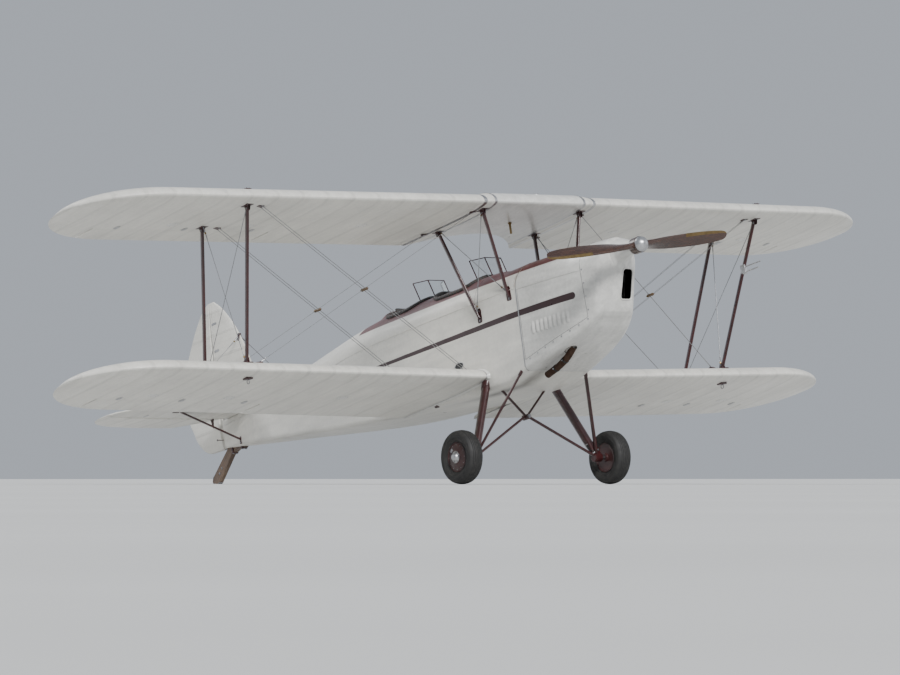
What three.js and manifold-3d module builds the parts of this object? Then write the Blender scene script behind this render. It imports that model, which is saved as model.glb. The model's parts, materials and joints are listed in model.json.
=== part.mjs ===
// Two-seat training biplane with an inverted in-line engine, parked on its wheels and tail skid.
// Millimetres. It is drawn level, from the middle of the wheel axle: X to port, forward along -Y,
// Z up. The last lines turn it tail-down and set the tyres and the skid on the ground.
import * as THREE from 'three';
import { mergeVertices } from 'three/addons/utils/BufferGeometryUtils.js';
import Module from 'manifold-3d';

const wasm = await Module();
wasm.setup();

const SEAT_GAP = 0.4;
const SLIVER = 0.06;
const SWING_GAP = 6;
const FORWARD = new THREE.Vector3(0, -1, 0);
const AFT = new THREE.Vector3(0, 1, 0);
const UP = new THREE.Vector3(0, 0, 1);
const PORT = new THREE.Vector3(1, 0, 0);
const SIDES = [['left', 1], ['right', -1]];
const radians = THREE.MathUtils.degToRad;

// Wings. Both have the same chord, section, sweep and spar spacing.
// nose and spar are the leading edge's place and the front spar's height at the root.
const CHORD = 1250;
const FRONT_SPAR = 160;
const TIP_CENTRE = 0.45;
const TIP_LENGTH = 750;
const SWEEP = Math.tan(radians(8));
const INCIDENCE = radians(4);
const TIP_ANGLES = [20, 40, 55, 68, 79, 86];
const UPPER = {
  root: 560.4, tip: 4190, nose: 515, spar: 2138, rise: Math.tan(radians(1.82)),
  aileron: [2050, 3680],
};
const LOWER = {
  root: 360.4, tip: 3973, nose: -33, spar: 742, rise: Math.tan(radians(2.95)),
  aileron: [1950, 3470],
};
const CENTRE = { ...UPPER, rise: 0 };
const CENTRE_HALF = 560;
const CENTRE_CUT = { depth: 400, margin: 60, behind: 20, low: 1900, high: 2400 };
const TANK_BULGE = 1.17;

// Wing section as fractions of the chord: station, upper surface, lower surface.
const SECTION = [
  [0.0, 0.004, -0.004], [0.015, 0.029, -0.013], [0.05, 0.054, -0.020], [0.13, 0.081, -0.026],
  [0.28, 0.094, -0.027], [0.45, 0.088, -0.023], [0.62, 0.069, -0.017], [0.80, 0.040, -0.010],
  [1.0, 0.003, -0.001],
];

// Hinged surfaces: hinge place as a fraction of the chord, nose radius, and where the lugs stand
// as fractions of the hinge line.
const AILERON_HINGE = 0.76;
const AILERON_NOSE = 36;
const AILERON_LUGS = [0.12, 0.5, 0.88];
const LUG_HALF_WIDTH = 7;
const LUG_RADIUS = 11;
const LUG_ARM = 30;
// Reach of the tools that split a surface at its hinge: behind the hinge, and to each face.
const BAY = { depth: 900, half: 150 };

// Fuselage stations: forward, half width, floor, rail (top of the flat side), crown.
const FIREWALL_SECTION = [350, 648, 1360, 1612];
const FIREWALL_BACK = 454.5;
const FIREWALL_FRONT = 467.5;
const TUB_STATIONS = [
  [FIREWALL_BACK - SEAT_GAP, ...FIREWALL_SECTION], [160, 360, 588, 1360, 1606],
  [-60, 360, 592, 1360, 1634], [-1000, 360, 645, 1356, 1645], [-1500, 360, 676, 1350, 1642],
  [-1950, 346, 716, 1336, 1614],
];
const TAIL_STATIONS = [
  [-1950.4, 346, 716, 1336, 1614], [-2500, 290, 782, 1302, 1550], [-3300, 195, 893, 1270, 1444],
  [-3900, 115, 972, 1255, 1382], [-4485, 38, 1052, 1250, 1345],
];
const CHINE = 40;
const DECK_STEPS = 6;
const TUB_WALL = 24;

// Cowl stations: the same, then the lean of the section forward per mm of height.
const COWL_STATIONS = [
  [1402, 172, 966, 1330, 1532, 0.29], [1372, 206, 930, 1335, 1566, 0.29],
  [1250, 240, 850, 1340, 1577, 0.2], [1080, 278, 796, 1345, 1588, 0.1],
  [800, 318, 728, 1352, 1600, 0], [FIREWALL_FRONT + SEAT_GAP, ...FIREWALL_SECTION, 0],
];
const COWL_WALL = 12;
const LEAN_HEIGHT = 1200;
// Oval bodies: forward, half width, lowest, highest. Snout over the crankshaft, then headrest.
const SNOUT_STATIONS = [
  [1290, 150, 1320, 1574], [1410, 137, 1340, 1566], [1520, 112, 1360, 1546], [1620, 84, 1375, 1512],
  [1690, 60, 1384, 1486],
];
const HEADREST_STATIONS = [
  [-1625, 150, 1500, 1668], [-1700, 152, 1500, 1676], [-1790, 130, 1500, 1668],
  [-1880, 70, 1520, 1634],
];
const OVAL_SIDES = 20;
const INTAKE = { x: [34, 150], forward: [1250, 1500], up: [1060, 1300] };
const ENGINE = { x: [-112, 112], forward: [FIREWALL_FRONT + SEAT_GAP, 1205], up: [900, 1490] };
const SHAFT_HEIGHT = 1434;
const SHAFT_RADIUS = 24;
const SHAFT_HOLE = { forward: [1200, 1760], radius: 36 };
// Exhaust pipe: x, forward, up from the sump to its open end under the starboard side.
const EXHAUST_PATH = [[-150, 900, 740], [-165, 820, 690], [-170, 700, 640], [-170, 520, 600]];
const EXHAUST_RADIUS = 30;

// Cockpits: centre, half length and half width of the opening in the deck.
const COCKPITS = [['front', -560, 320, 268], ['rear', -1350, 270, 250]];
const OPENING_CORNER = 170;
const OPENING_UP = [1390, 1810];
const PANEL = { ahead: 60, half: 5, up: [1290, 1700] };
// Seat: pan and back with two cheeks that stand on the floor.
const SEAT = { half: 205, cheek: 18, sheet: 22, depth: 360, pan: [930, 950], back: 1440, arm: 1080 };
const FLOOR_UNDER = 590;
const STICK = { radius: 12, foot: [190, 600], grip: [150, 1210] };
// Windscreen: plan of its three panes as x and forward, then lean aft per mm of height.
const WINDSCREEN_PLAN = [[-150, -95], [-85, 40], [85, 40], [150, -95]];
const WINDSCREEN = { thickness: 5, narrower: 0.97, lean: 0.45, up: [1540, 1810], ahead: 70 };

// Struts and stays: outer ends as [x, forward, up] on the port side. Sections: chord, thickness.
const CABANES = [
  ['front', [525, 365, 2110], [356, 363, 1318]], ['rear', [525, -310, 2085], [364, -70, 1225]],
];
const CABANE_SECTION = [44, 20];
const INTERPLANES = [
  ['front', [2715, 58, 2180], [2535, -496, 850]], ['rear', [2732, -609, 2130], [2553, -1102, 820]],
];
const INTERPLANE_SECTION = [48, 20];
// Stays, one of each kind in the plane of each pair of spars.
const STAYS = [
  ['flying_wire_front', [400, -190, 735], [2660, 62, 2175]],
  ['flying_wire_rear', [400, -835, 655], [2672, -590, 2150]],
  ['landing_wire_front', [470, 350, 2125], [2478, -488, 870]],
  ['landing_wire_rear', [470, -330, 2110], [2549, -1106, 830]],
];
const STAY_RADIUS = 5;
const PAD_HALF = 32;
const PAD_DEPTH = 88;

// Wheels: outlines as radius and distance from the wheel's middle towards the outside.
const AXLE_X = 789;
const TYRE_RADIUS = 230;
const RIM_RADIUS = 122;
const STUB_RADIUS = 16;
const STUB_CLEARANCE = 0.6;
const TYRE_OUTLINE = [
  [RIM_RADIUS, -46], [150, -62], [185, -76], [208, -66], [224, -40], [TYRE_RADIUS, 0],
  [224, 40], [208, 66], [185, 76], [150, 62], [RIM_RADIUS, 46], [RIM_RADIUS, -46],
];
const WHEEL_OUTLINE = [
  [0, 40], [STUB_RADIUS + STUB_CLEARANCE, 40], [STUB_RADIUS + STUB_CLEARANCE, -62], [34, -62],
  [40, -34], [RIM_RADIUS - SEAT_GAP, -50], [RIM_RADIUS - SEAT_GAP, 50], [44, 66], [30, 84], [0, 88],
];

// Undercarriage: two half-axles hinged under the belly, each with a radius rod and a sprung leg.
const BOSS = { x: [612, 690], radius: 38 };
const STUB_END = 39;
const PYLON_APEX = [0, -66, 365];
const PYLON_FOOT = [268, -66, 640];
const PYLON_SECTION = [34, 18];
const APEX_RADIUS = 24;
const APEX_HALF = 42;
const AXLE_ROOT = [24, -66, 365];
const AXLE_SECTION = [40, 22];
const ROD_TOP = [325, 405, 690];
const ROD_SECTION = [40, 20];
const LEG_FOOT = [652, 0, 0];
const LEG_TOP = [335, -110, 700];
const LEG_SECTION = [104, 56];
const LEG_CUT_UNDER = 10;

// Tail skid: the shoe from the point that touches the ground, as distance towards the nose and
// height, then the spring's two faces as forward and up.
const SKID_TOUCH = [-4737, 776];
const SHOE_SOLE = [[-26, 0], [40, 0], [66, 16]];
const SHOE_HEEL = [[-26, 62], [-38, 18]];
const SPRING_FACES = [
  [-4420, 985], [-4320, 1012], [-4215, 1006], [-4215, 1080], [-4440, 1080], [-4484, 1040],
];
const SKID_WIDTH = 44;

// Vertical tail, from the rudder's foot to the top: height, leading edge, trailing edge, thickness.
const RUDDER_HINGE = -4520;
const VERTICAL_TAIL = [
  [1052, -4470, -4710, 30], [1120, -4440, -4880, 44], [1210, -4300, -4968, 52],
  [1310, -3900, -5015, 56], [1414, -3869, -5060, 56], [1656, -3945, -5081, 54],
  [1874, -4030, -5012, 50], [2090, -4145, -4880, 44], [2269, -4287, -4735, 34],
  [2350, -4375, -4645, 24], [2402, -4450, -4555, 10],
];
const RUDDER_NOSE = 25;
const RUDDER_SPAN = { from: 1000, to: 2460, bay: [-20, 1440] };
const RUDDER_LOW_LUG = 160;
const RUDDER_HIGH_LUGS = [700, 1180];
const STERN_POST = { half: 16, forward: [-4492, -4452] };
const SHELF = { half: 400, forward: [-4600, -3860], top: 1700 };

// Tailplane with elevator: half span station, leading edge, trailing edge, thickness.
const ELEVATOR_HINGE = -4420;
const TAILPLANE_HEIGHT = 1338;
const TAILPLANE = [
  [0, -3880, -4965, 66], [570, -3952, -4962, 60], [940, -4058, -4924, 50],
  [1165, -4184, -4828, 38], [1272, -4322, -4708, 26], [1312, -4436, -4596, 12],
];
const ELEVATOR_NOSE = 30;
const ELEVATOR_HALF_LINE = 1500;
const ELEVATOR_LUGS = [350, 1050, 1950, 2650];
const TORQUE_TUBE = { half: 120, radius: 12 };
const NOTCH = { half: 48, slope: 0.38, depth: 700, ahead: 60, height: 200 };
const TAIL_BRACE = { foot: [60, -4180, 1060], top: 740, forward: -4190, section: [36, 16] };
const CHORD_LEAD = 0.42;

// Propeller: radius, chord, thickness and pitch in degrees at each station of a blade.
const BLADE = [
  [40, 80, 60, 68], [150, 100, 44, 55], [320, 116, 31, 40], [560, 118, 22, 29], [780, 104, 15, 23],
  [920, 76, 10, 19], [975, 34, 6, 18],
];
const PROPELLER_FORWARD = 1742;
const HUB_RADIUS = 70;
const HUB_HALF_LENGTH = 44;
const HUB_FACE_CUT = 200;
// Spinner outline: radius, distance ahead of the hub.
const SPINNER_OUTLINE = [[0, 0], [66, 0], [60, 22], [44, 42], [22, 56], [0, 62]];
const BLADE_ANGLE = radians(7);

const CREAM = [0.82, 0.79, 0.72];
const FINISHES = {
  dope: { color: CREAM, roughness: 0.45, metalness: 0 },
  paint: { color: CREAM, roughness: 0.35, metalness: 0.1 },
  strut: { color: [0.72, 0.7, 0.66], roughness: 0.4, metalness: 0.2 },
  wire: { color: [0.45, 0.45, 0.46], roughness: 0.35, metalness: 0.9 },
  tyre: { color: [0.03, 0.028, 0.026], roughness: 0.85, metalness: 0 },
  wood: { color: [0.2, 0.09, 0.04], roughness: 0.35, metalness: 0 },
  alloy: { color: [0.6, 0.6, 0.61], roughness: 0.35, metalness: 0.9 },
  iron: { color: [0.12, 0.12, 0.12], roughness: 0.6, metalness: 0.6 },
  rust: { color: [0.2, 0.11, 0.07], roughness: 0.75, metalness: 0.5 },
  leather: { color: [0.16, 0.07, 0.035], roughness: 0.6, metalness: 0 },
  panel: { color: [0.03, 0.03, 0.032], roughness: 0.6, metalness: 0 },
  glass: { color: [0.75, 0.8, 0.82], roughness: 0.05, metalness: 0 },
};

const level = new THREE.Group();

const at = (x, forward, up) => new THREE.Vector3(x, -forward, up);
const onSide = ([x, forward, up], side) => at(side * x, forward, up);

function add(name, shape, finish) {
  const { color, roughness, metalness } = FINISHES[finish];
  const material = new THREE.MeshStandardMaterial({ roughness, metalness });
  material.color.setRGB(...color);
  const mesh = new THREE.Mesh(shape.isBufferGeometry ? shape : surface(shape), material);
  mesh.name = name;
  level.add(mesh);
  return mesh;
}

function solid(geometry) {
  const bare = geometry.clone();
  bare.deleteAttribute('normal');
  bare.deleteAttribute('uv');
  const merged = mergeVertices(bare);
  const triVerts = new Uint32Array(merged.index.array);
  return new wasm.Manifold(
    new wasm.Mesh({ numProp: 3, vertProperties: merged.attributes.position.array, triVerts }),
  );
}

// The mesh of a joined solid, without the slivers that joins and cuts leave.
function surface(shape) {
  const mesh = shape.asOriginal().simplify(SLIVER).getMesh();
  const geometry = new THREE.BufferGeometry();
  geometry.setAttribute('position', new THREE.BufferAttribute(mesh.vertProperties, 3));
  geometry.setIndex(new THREE.BufferAttribute(mesh.triVerts, 1));
  return geometry;
}

const join = (shapes) => shapes.reduce((all, shape) => all.add(shape));
const cut = (shape, tools) => tools.reduce((left, tool) => left.subtract(tool), shape);
// Cuts a piece flush with its neighbours and keeps the stretch between them.
const trim = (shape, neighbours) => cut(shape, neighbours).decompose()
  .sort((a, b) => b.volume() - a.volume())[0];

function signedVolume(points, index) {
  let six = 0;
  for (let i = 0; i < index.length; i += 3) {
    const [a, b, c] = [points[index[i]], points[index[i + 1]], points[index[i + 2]]];
    six += a.dot(b.clone().cross(c));
  }
  return six;
}

const middle = (ring) => ring
  .reduce((sum, point) => sum.add(point), new THREE.Vector3())
  .divideScalar(ring.length);

// A closed surface through rings of equal length, with flat ends.
function loft(rings) {
  const count = rings[0].length;
  const points = rings.flat();
  const firstCap = points.push(middle(rings[0])) - 1;
  const lastCap = points.push(middle(rings.at(-1))) - 1;
  const lastRing = (rings.length - 1) * count;
  let index = [];
  for (let i = 0; i < count; i++) {
    const j = (i + 1) % count;
    for (let base = 0; base < lastRing; base += count) {
      index.push(base + i, base + j, base + count + j);
      index.push(base + i, base + count + j, base + count + i);
    }
    index.push(firstCap, j, i);
    index.push(lastCap, lastRing + i, lastRing + j);
  }
  if (signedVolume(points, index) < 0) index = index.reverse();
  const geometry = new THREE.BufferGeometry().setFromPoints(points);
  geometry.setIndex(index);
  return solid(geometry);
}

function block([x0, x1], [forward0, forward1], [up0, up1]) {
  const geometry = new THREE.BoxGeometry(x1 - x0, forward1 - forward0, up1 - up0);
  geometry.translate((x0 + x1) / 2, -(forward0 + forward1) / 2, (up0 + up1) / 2);
  return solid(geometry);
}

function rod(from, to, radius, sides = 12, endRadius = radius) {
  const axis = to.clone().sub(from);
  const geometry = new THREE.CylinderGeometry(endRadius, radius, axis.length(), sides);
  const turn = new THREE.Quaternion().setFromUnitVectors(
    new THREE.Vector3(0, 1, 0), axis.clone().normalize(),
  );
  geometry.applyQuaternion(turn);
  geometry.translate(...from.clone().add(to).multiplyScalar(0.5).toArray());
  return solid(geometry);
}

// Streamline outline as fractions: station along the chord, half thickness.
const STREAMLINE = [
  [0.42, 0], [0.38, 0.27], [0.26, 0.44], [0.06, 0.5], [-0.2, 0.38], [-0.42, 0.18], [-0.58, 0.02],
];

function lensRing(centre, along, across, chord, thickness) {
  const upper = STREAMLINE.map(([c, t]) => [c, t]);
  const lower = STREAMLINE.slice(1).reverse().map(([c, t]) => [c, -t]);
  return [...upper, ...lower].map(([c, t]) => centre.clone()
    .addScaledVector(along, c * chord)
    .addScaledVector(across, t * thickness));
}

function strut(from, to, [chord, thickness]) {
  const axis = to.clone().sub(from).normalize();
  const along = FORWARD.clone().addScaledVector(axis, -FORWARD.dot(axis)).normalize();
  const across = axis.clone().cross(along);
  return loft([from, to].map((end) => lensRing(end, along, across, chord, thickness)));
}

// A hinge line: a start, the direction along it, the direction aft and the direction through.
function hingeFrame(start, end, aft) {
  const along = end.clone().sub(start).normalize();
  const back = aft.clone().addScaledVector(along, -aft.dot(along)).normalize();
  return { start, along, back, through: along.clone().cross(back), length: end.distanceTo(start) };
}

function hingeBlock(hinge, [along0, along1], [back0, back1], halfThrough) {
  const geometry = new THREE.BoxGeometry(along1 - along0, back1 - back0, 2 * halfThrough);
  geometry.translate((along0 + along1) / 2, (back0 + back1) / 2, 0);
  const basis = new THREE.Matrix4().makeBasis(hinge.along, hinge.back, hinge.through);
  geometry.applyMatrix4(basis.setPosition(hinge.start));
  return solid(geometry);
}

function hingeRod(hinge, along0, along1, radius, sides) {
  const from = hinge.start.clone().addScaledVector(hinge.along, along0);
  const to = hinge.start.clone().addScaledVector(hinge.along, along1);
  return rod(from, to, radius, sides);
}

// The fixed side of a hinge: lugs that reach from the cove to the hinge line.
function hingeLugs(hinge, noseRadius, stations) {
  return stations.map((place) => {
    const ends = [place - LUG_HALF_WIDTH, place + LUG_HALF_WIDTH];
    const arm = hingeBlock(hinge, ends, [-noseRadius - LUG_ARM, 0], LUG_RADIUS * 0.7);
    return arm.add(hingeRod(hinge, ...ends, LUG_RADIUS, 10));
  });
}

function hingeSlots(hinge, noseRadius, stations) {
  const reach = LUG_HALF_WIDTH + SEAT_GAP;
  const radius = noseRadius + 3;
  return stations.map((place) => hingeRod(hinge, place - reach, place + reach, radius, 20));
}

// Splits a whole surface at its hinge line into the fixed part and the swinging part.
function splitAtHinge(whole, hinge, span, noseRadius, stations) {
  const [start, end] = span;
  const inner = [start + SWING_GAP, end - SWING_GAP];
  const bay = hingeBlock(hinge, span, [0, BAY.depth], BAY.half)
    .add(hingeRod(hinge, start, end, noseRadius + SWING_GAP, 24));
  const moving = hingeBlock(hinge, inner, [0, BAY.depth], BAY.half)
    .add(hingeRod(hinge, ...inner, noseRadius, 24));
  const swinging = cut(whole.intersect(moving), hingeSlots(hinge, noseRadius, stations));
  const lugs = hingeLugs(hinge, noseRadius, stations);
  return { fixed: join([whole.subtract(bay), ...lugs]), swinging };
}

// Heights of the section's two surfaces at a station, as fractions of the chord.
function sectionAt(station) {
  const after = SECTION.findIndex(([place]) => place >= station);
  const [from, ...before] = SECTION[after - 1];
  const [to, ...behind] = SECTION[after];
  const mix = (height, i) => THREE.MathUtils.mapLinear(station, from, to, height, behind[i]);
  return before.map(mix);
}

function middleHeight(station) {
  const [top, under] = sectionAt(station);
  return CHORD * (top + under) / 2;
}

// A point of a wing: its distance from the middle, its station behind the leading edge along the
// chord line, and its height over that line.
function wingPoint(wing, side, x, station, height) {
  const out = x - wing.root;
  const nose = wing.nose - SWEEP * out;
  const noseUp = wing.spar + wing.rise * out - middleHeight(FRONT_SPAR / CHORD)
    + FRONT_SPAR * Math.sin(INCIDENCE);
  return at(
    side * x,
    nose - station * Math.cos(INCIDENCE) + height * Math.sin(INCIDENCE),
    noseUp - station * Math.sin(INCIDENCE) + height * Math.cos(INCIDENCE),
  );
}

// One wing section; taper below 1 rounds the tip, bulge thickens the upper surface.
function wingRing(wing, side, x, taper = 1, grow = 0, bulge = 1) {
  const chord = CHORD * taper;
  const inset = TIP_CENTRE * (CHORD - chord);
  const place = (station, height) => wingPoint(wing, side, x, inset + station * chord, height);
  const upper = SECTION.map(([station, top]) => place(station, top * chord * bulge + grow));
  const lower = SECTION.map(([station, , under]) => place(station, under * chord - grow));
  return [...upper, ...lower.reverse()];
}

function wingSolid(wing, side, grow = 0) {
  const straightEnd = wing.tip - TIP_LENGTH;
  const rings = [wing.root, straightEnd].map((x) => wingRing(wing, side, x, 1, grow));
  for (const angle of TIP_ANGLES.map(radians)) {
    const x = straightEnd + TIP_LENGTH * Math.sin(angle);
    rings.push(wingRing(wing, side, x, Math.cos(angle), grow));
  }
  return loft(rings);
}

function wingHinge(wing, side) {
  const height = middleHeight(AILERON_HINGE);
  const ends = wing.aileron.map((x) => wingPoint(wing, side, x, AILERON_HINGE * CHORD, height));
  const aft = new THREE.Vector3(0, Math.cos(INCIDENCE), -Math.sin(INCIDENCE));
  return hingeFrame(...ends, aft);
}

function hullRing([forward, half, floor, rail, crown, lean = 0], grow) {
  const w = half + grow;
  const low = floor - grow;
  const high = crown + grow;
  const chine = Math.min(CHINE, 0.6 * w);
  const side = [[w - chine, low], [w - 0.3 * chine, low + 0.3 * chine], [w, low + chine], [w, rail]];
  for (let k = 1; k < DECK_STEPS; k++) {
    const angle = (k / DECK_STEPS) * (Math.PI / 2);
    side.push([w * Math.cos(angle), rail + (high - rail) * Math.sin(angle)]);
  }
  const mirrored = side.map(([x, up]) => [-x, up]).reverse();
  return [...side, [0, high], ...mirrored]
    .map(([x, up]) => at(x, forward + lean * (up - LEAN_HEIGHT), up));
}

// A lofted hull from the foremost station to the last; longer moves both ends outwards.
function hull(stations, grow = 0, longer = 0) {
  const moved = stations.map((row) => [...row]);
  moved[0][0] += longer;
  moved.at(-1)[0] -= longer;
  return loft(moved.map((row) => hullRing(row, grow)));
}

const fuselageCutter = hull(TUB_STATIONS, SEAT_GAP, SEAT_GAP);
const tailConeCutter = hull(TAIL_STATIONS, SEAT_GAP);

// The upright tool, a rounded rectangle in plan, that opens the deck over a cockpit.
function deckOpening([, centre, halfLength, halfWidth]) {
  const [low, high] = OPENING_UP;
  const r = OPENING_CORNER;
  const outline = new THREE.Shape();
  const corners = [[1, 1], [-1, 1], [-1, -1], [1, -1]];
  corners.forEach(([toX, toY], i) => {
    const [x, y] = [toX * (halfWidth - r), toY * (halfLength - r)];
    outline.absarc(x, y, r, i * Math.PI / 2, (i + 1) * Math.PI / 2, false);
  });
  const geometry = new THREE.ExtrudeGeometry(
    outline, { depth: high - low, bevelEnabled: false, curveSegments: 8 },
  );
  geometry.translate(0, -centre, low);
  return solid(geometry);
}

function ovalRing([forward, half, low, high]) {
  return Array.from({ length: OVAL_SIDES }, (_, i) => {
    const angle = (i / OVAL_SIDES) * 2 * Math.PI;
    const up = (low + high) / 2 + ((high - low) / 2) * Math.sin(angle);
    return at(half * Math.cos(angle), forward, up);
  });
}

function buildFuselage() {
  const inside = hull(TUB_STATIONS, -TUB_WALL, 50);
  const outside = hull(TUB_STATIONS).add(loft(HEADREST_STATIONS.map(ovalRing)));
  add('fuselage_cockpits', cut(outside, [inside, ...COCKPITS.map(deckOpening)]), 'dope');
  const faces = [FIREWALL_FRONT, FIREWALL_BACK];
  add('firewall', hull(faces.map((forward) => [forward, ...FIREWALL_SECTION])), 'alloy');
}

function buildCowl() {
  const [firstRow, ...otherRows] = COWL_STATIONS;
  const behind = [...COWL_STATIONS.at(-1)];
  behind[0] -= 5 * COWL_WALL;
  const inside = [[firstRow[0] - COWL_WALL, ...firstRow.slice(1)], ...otherRows, behind];
  const shaftHole = rod(
    ...SHAFT_HOLE.forward.map((forward) => at(0, forward, SHAFT_HEIGHT)), SHAFT_HOLE.radius, 24,
  );
  const intake = block(INTAKE.x, INTAKE.forward, INTAKE.up);
  const outer = hull(COWL_STATIONS).add(loft(SNOUT_STATIONS.map(ovalRing)));
  add('cowl', cut(outer, [hull(inside, -COWL_WALL), shaftHole, intake]), 'paint');
}

function buildEngine() {
  const shaftFrom = at(0, ENGINE.forward[1] - SHAFT_RADIUS, SHAFT_HEIGHT);
  const shaftTo = at(0, PROPELLER_FORWARD - HUB_HALF_LENGTH - SEAT_GAP, SHAFT_HEIGHT);
  const shaft = rod(shaftFrom, shaftTo, SHAFT_RADIUS, 16);
  add('engine', block(ENGINE.x, ENGINE.forward, ENGINE.up).add(shaft), 'iron');
  const path = EXHAUST_PATH.map((point) => at(...point));
  const pipe = join(path.slice(1).map((point, i) => rod(path[i], point, EXHAUST_RADIUS, 14)));
  add('exhaust', trim(pipe, [hull(COWL_STATIONS, SEAT_GAP), fuselageCutter]), 'rust');
}

function tailplaneWhole(grow = 0) {
  const starboard = TAILPLANE.slice(1).reverse().map(([x, ...rest]) => [-x, ...rest]);
  const rings = [...starboard, ...TAILPLANE].map(([x, leading, trailing, thickness]) => {
    const chord = leading - trailing + 2 * grow;
    const centre = at(x, leading + grow - CHORD_LEAD * chord, TAILPLANE_HEIGHT);
    return lensRing(centre, FORWARD, UP, chord, thickness + 2 * grow);
  });
  return loft(rings);
}

// The wedge cut from the middle of the elevator, in which the rudder swings.
function rudderNotch() {
  const outline = new THREE.Shape();
  const spread = NOTCH.half + NOTCH.slope * NOTCH.depth;
  outline.moveTo(-NOTCH.half, 0);
  outline.lineTo(NOTCH.half, 0);
  outline.lineTo(spread, NOTCH.depth);
  outline.lineTo(-spread, NOTCH.depth);
  const geometry = new THREE.ExtrudeGeometry(outline, { depth: NOTCH.height, bevelEnabled: false });
  geometry.translate(0, -ELEVATOR_HINGE - NOTCH.ahead, TAILPLANE_HEIGHT - NOTCH.height / 2);
  return solid(geometry);
}

function buildTailplane() {
  const hinge = hingeFrame(
    at(-ELEVATOR_HALF_LINE, ELEVATOR_HINGE, TAILPLANE_HEIGHT),
    at(ELEVATOR_HALF_LINE, ELEVATOR_HINGE, TAILPLANE_HEIGHT), AFT,
  );
  const span = [0, 2 * ELEVATOR_HALF_LINE];
  const parts = splitAtHinge(tailplaneWhole(), hinge, span, ELEVATOR_NOSE, ELEVATOR_LUGS);
  add('tailplane', parts.fixed, 'dope');
  const tubeEnds = [-1, 1].map((end) => ELEVATOR_HALF_LINE + end * TORQUE_TUBE.half);
  const torqueTube = hingeRod(hinge, ...tubeEnds, TORQUE_TUBE.radius, 12);
  add('elevator', parts.swinging.subtract(rudderNotch()).add(torqueTube), 'dope');
}

function verticalTailWhole() {
  return loft(VERTICAL_TAIL.map(([height, leading, trailing, thickness]) => {
    const chord = leading - trailing;
    return lensRing(at(0, leading - CHORD_LEAD * chord, height), FORWARD, PORT, chord, thickness);
  }));
}

// Fin, rudder and tail cone; the tailplane lies on a shelf cut in the cone, the fin stands on it.
function buildVerticalTail() {
  const wide = [-SHELF.half, SHELF.half];
  const halfRoot = TAILPLANE[0][3] / 2 + SEAT_GAP;
  const underTailplane = TAILPLANE_HEIGHT - halfRoot;
  const finFoot = TAILPLANE_HEIGHT + halfRoot;
  const hinge = hingeFrame(
    at(0, RUDDER_HINGE, RUDDER_SPAN.from), at(0, RUDDER_HINGE, RUDDER_SPAN.to), AFT,
  );
  const lugs = [RUDDER_LOW_LUG, ...RUDDER_HIGH_LUGS];
  const parts = splitAtHinge(verticalTailWhole(), hinge, RUDDER_SPAN.bay, RUDDER_NOSE, lugs);
  const belowFin = block(wide, [RUDDER_HINGE - BAY.depth, 0], [RUDDER_SPAN.from - 100, finFoot]);
  const post = block(
    [-STERN_POST.half, STERN_POST.half], STERN_POST.forward,
    [underTailplane + SEAT_GAP, finFoot + STERN_POST.half],
  );
  const coneAhead = tailConeCutter.subtract(block(wide, SHELF.forward, [0, SHELF.top]));
  add('fin', cut(parts.fixed.subtract(belowFin).add(post), [coneAhead]), 'dope');
  add('rudder', parts.swinging, 'dope');

  const shelf = block(wide, SHELF.forward, [underTailplane, SHELF.top]);
  const cone = cut(hull(TAIL_STATIONS), [shelf, tailplaneWhole(SEAT_GAP)]);
  const lowLug = hingeLugs(hinge, RUDDER_NOSE, [RUDDER_LOW_LUG]);
  add('fuselage_tail', join([cone, ...lowLug]), 'dope');
}

function buildTailBraces() {
  const { foot, top, forward, section } = TAIL_BRACE;
  const neighbours = [tailplaneWhole(SEAT_GAP), tailConeCutter];
  for (const [word, side] of SIDES) {
    const ends = [onSide(foot, side), onSide([top, forward, TAILPLANE_HEIGHT], side)];
    add(`tailplane_strut_${word}`, trim(strut(...ends, section), neighbours), 'strut');
  }
}

// A flat pad under the front strut's foot, where the parked aircraft is tied down.
function tieDownPad(side) {
  const [, , [x, forward]] = INTERPLANES[0];
  const spar = LOWER.spar + LOWER.rise * (x - LOWER.root);
  const ends = [side * (x - PAD_HALF), side * (x + PAD_HALF)].sort((a, b) => a - b);
  return block(ends, [forward - PAD_HALF, forward + PAD_HALF], [spar - PAD_DEPTH, spar]);
}

function buildWing(place, wing, word, side) {
  const hinge = wingHinge(wing, side);
  const lugs = AILERON_LUGS.map((share) => share * hinge.length);
  const span = [0, hinge.length];
  const { fixed, swinging } = splitAtHinge(wingSolid(wing, side), hinge, span, AILERON_NOSE, lugs);
  add(`wing_${place}_${word}`, wing === LOWER ? fixed.add(tieDownPad(side)) : fixed, 'dope');
  add(`aileron_${place}_${word}`, swinging, 'dope');
}

function centreSolid(grow = 0) {
  return loft([-1, 1].map((side) => wingRing(CENTRE, side, CENTRE_HALF, 1, grow, TANK_BULGE)));
}

// The centre section between the upper wings, with its trailing edge curved in over the cockpit.
function buildCentreSection() {
  const { depth, margin, behind, low, high } = CENTRE_CUT;
  const half = CENTRE_HALF + margin;
  const outline = new THREE.Shape();
  outline.moveTo(-half, 0);
  outline.lineTo(half, 0);
  outline.quadraticCurveTo(0, -2 * depth, -half, 0);
  const geometry = new THREE.ExtrudeGeometry(outline, { depth: high - low, bevelEnabled: false });
  geometry.translate(0, CHORD - UPPER.nose + behind, low);
  add('centre_section', centreSolid().subtract(solid(geometry)), 'dope');
}

// The wings' own shapes, a little larger: struts and legs are cut flush with them.
const wingCutter = (wing, side) => wingSolid(wing, side, SEAT_GAP);

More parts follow.
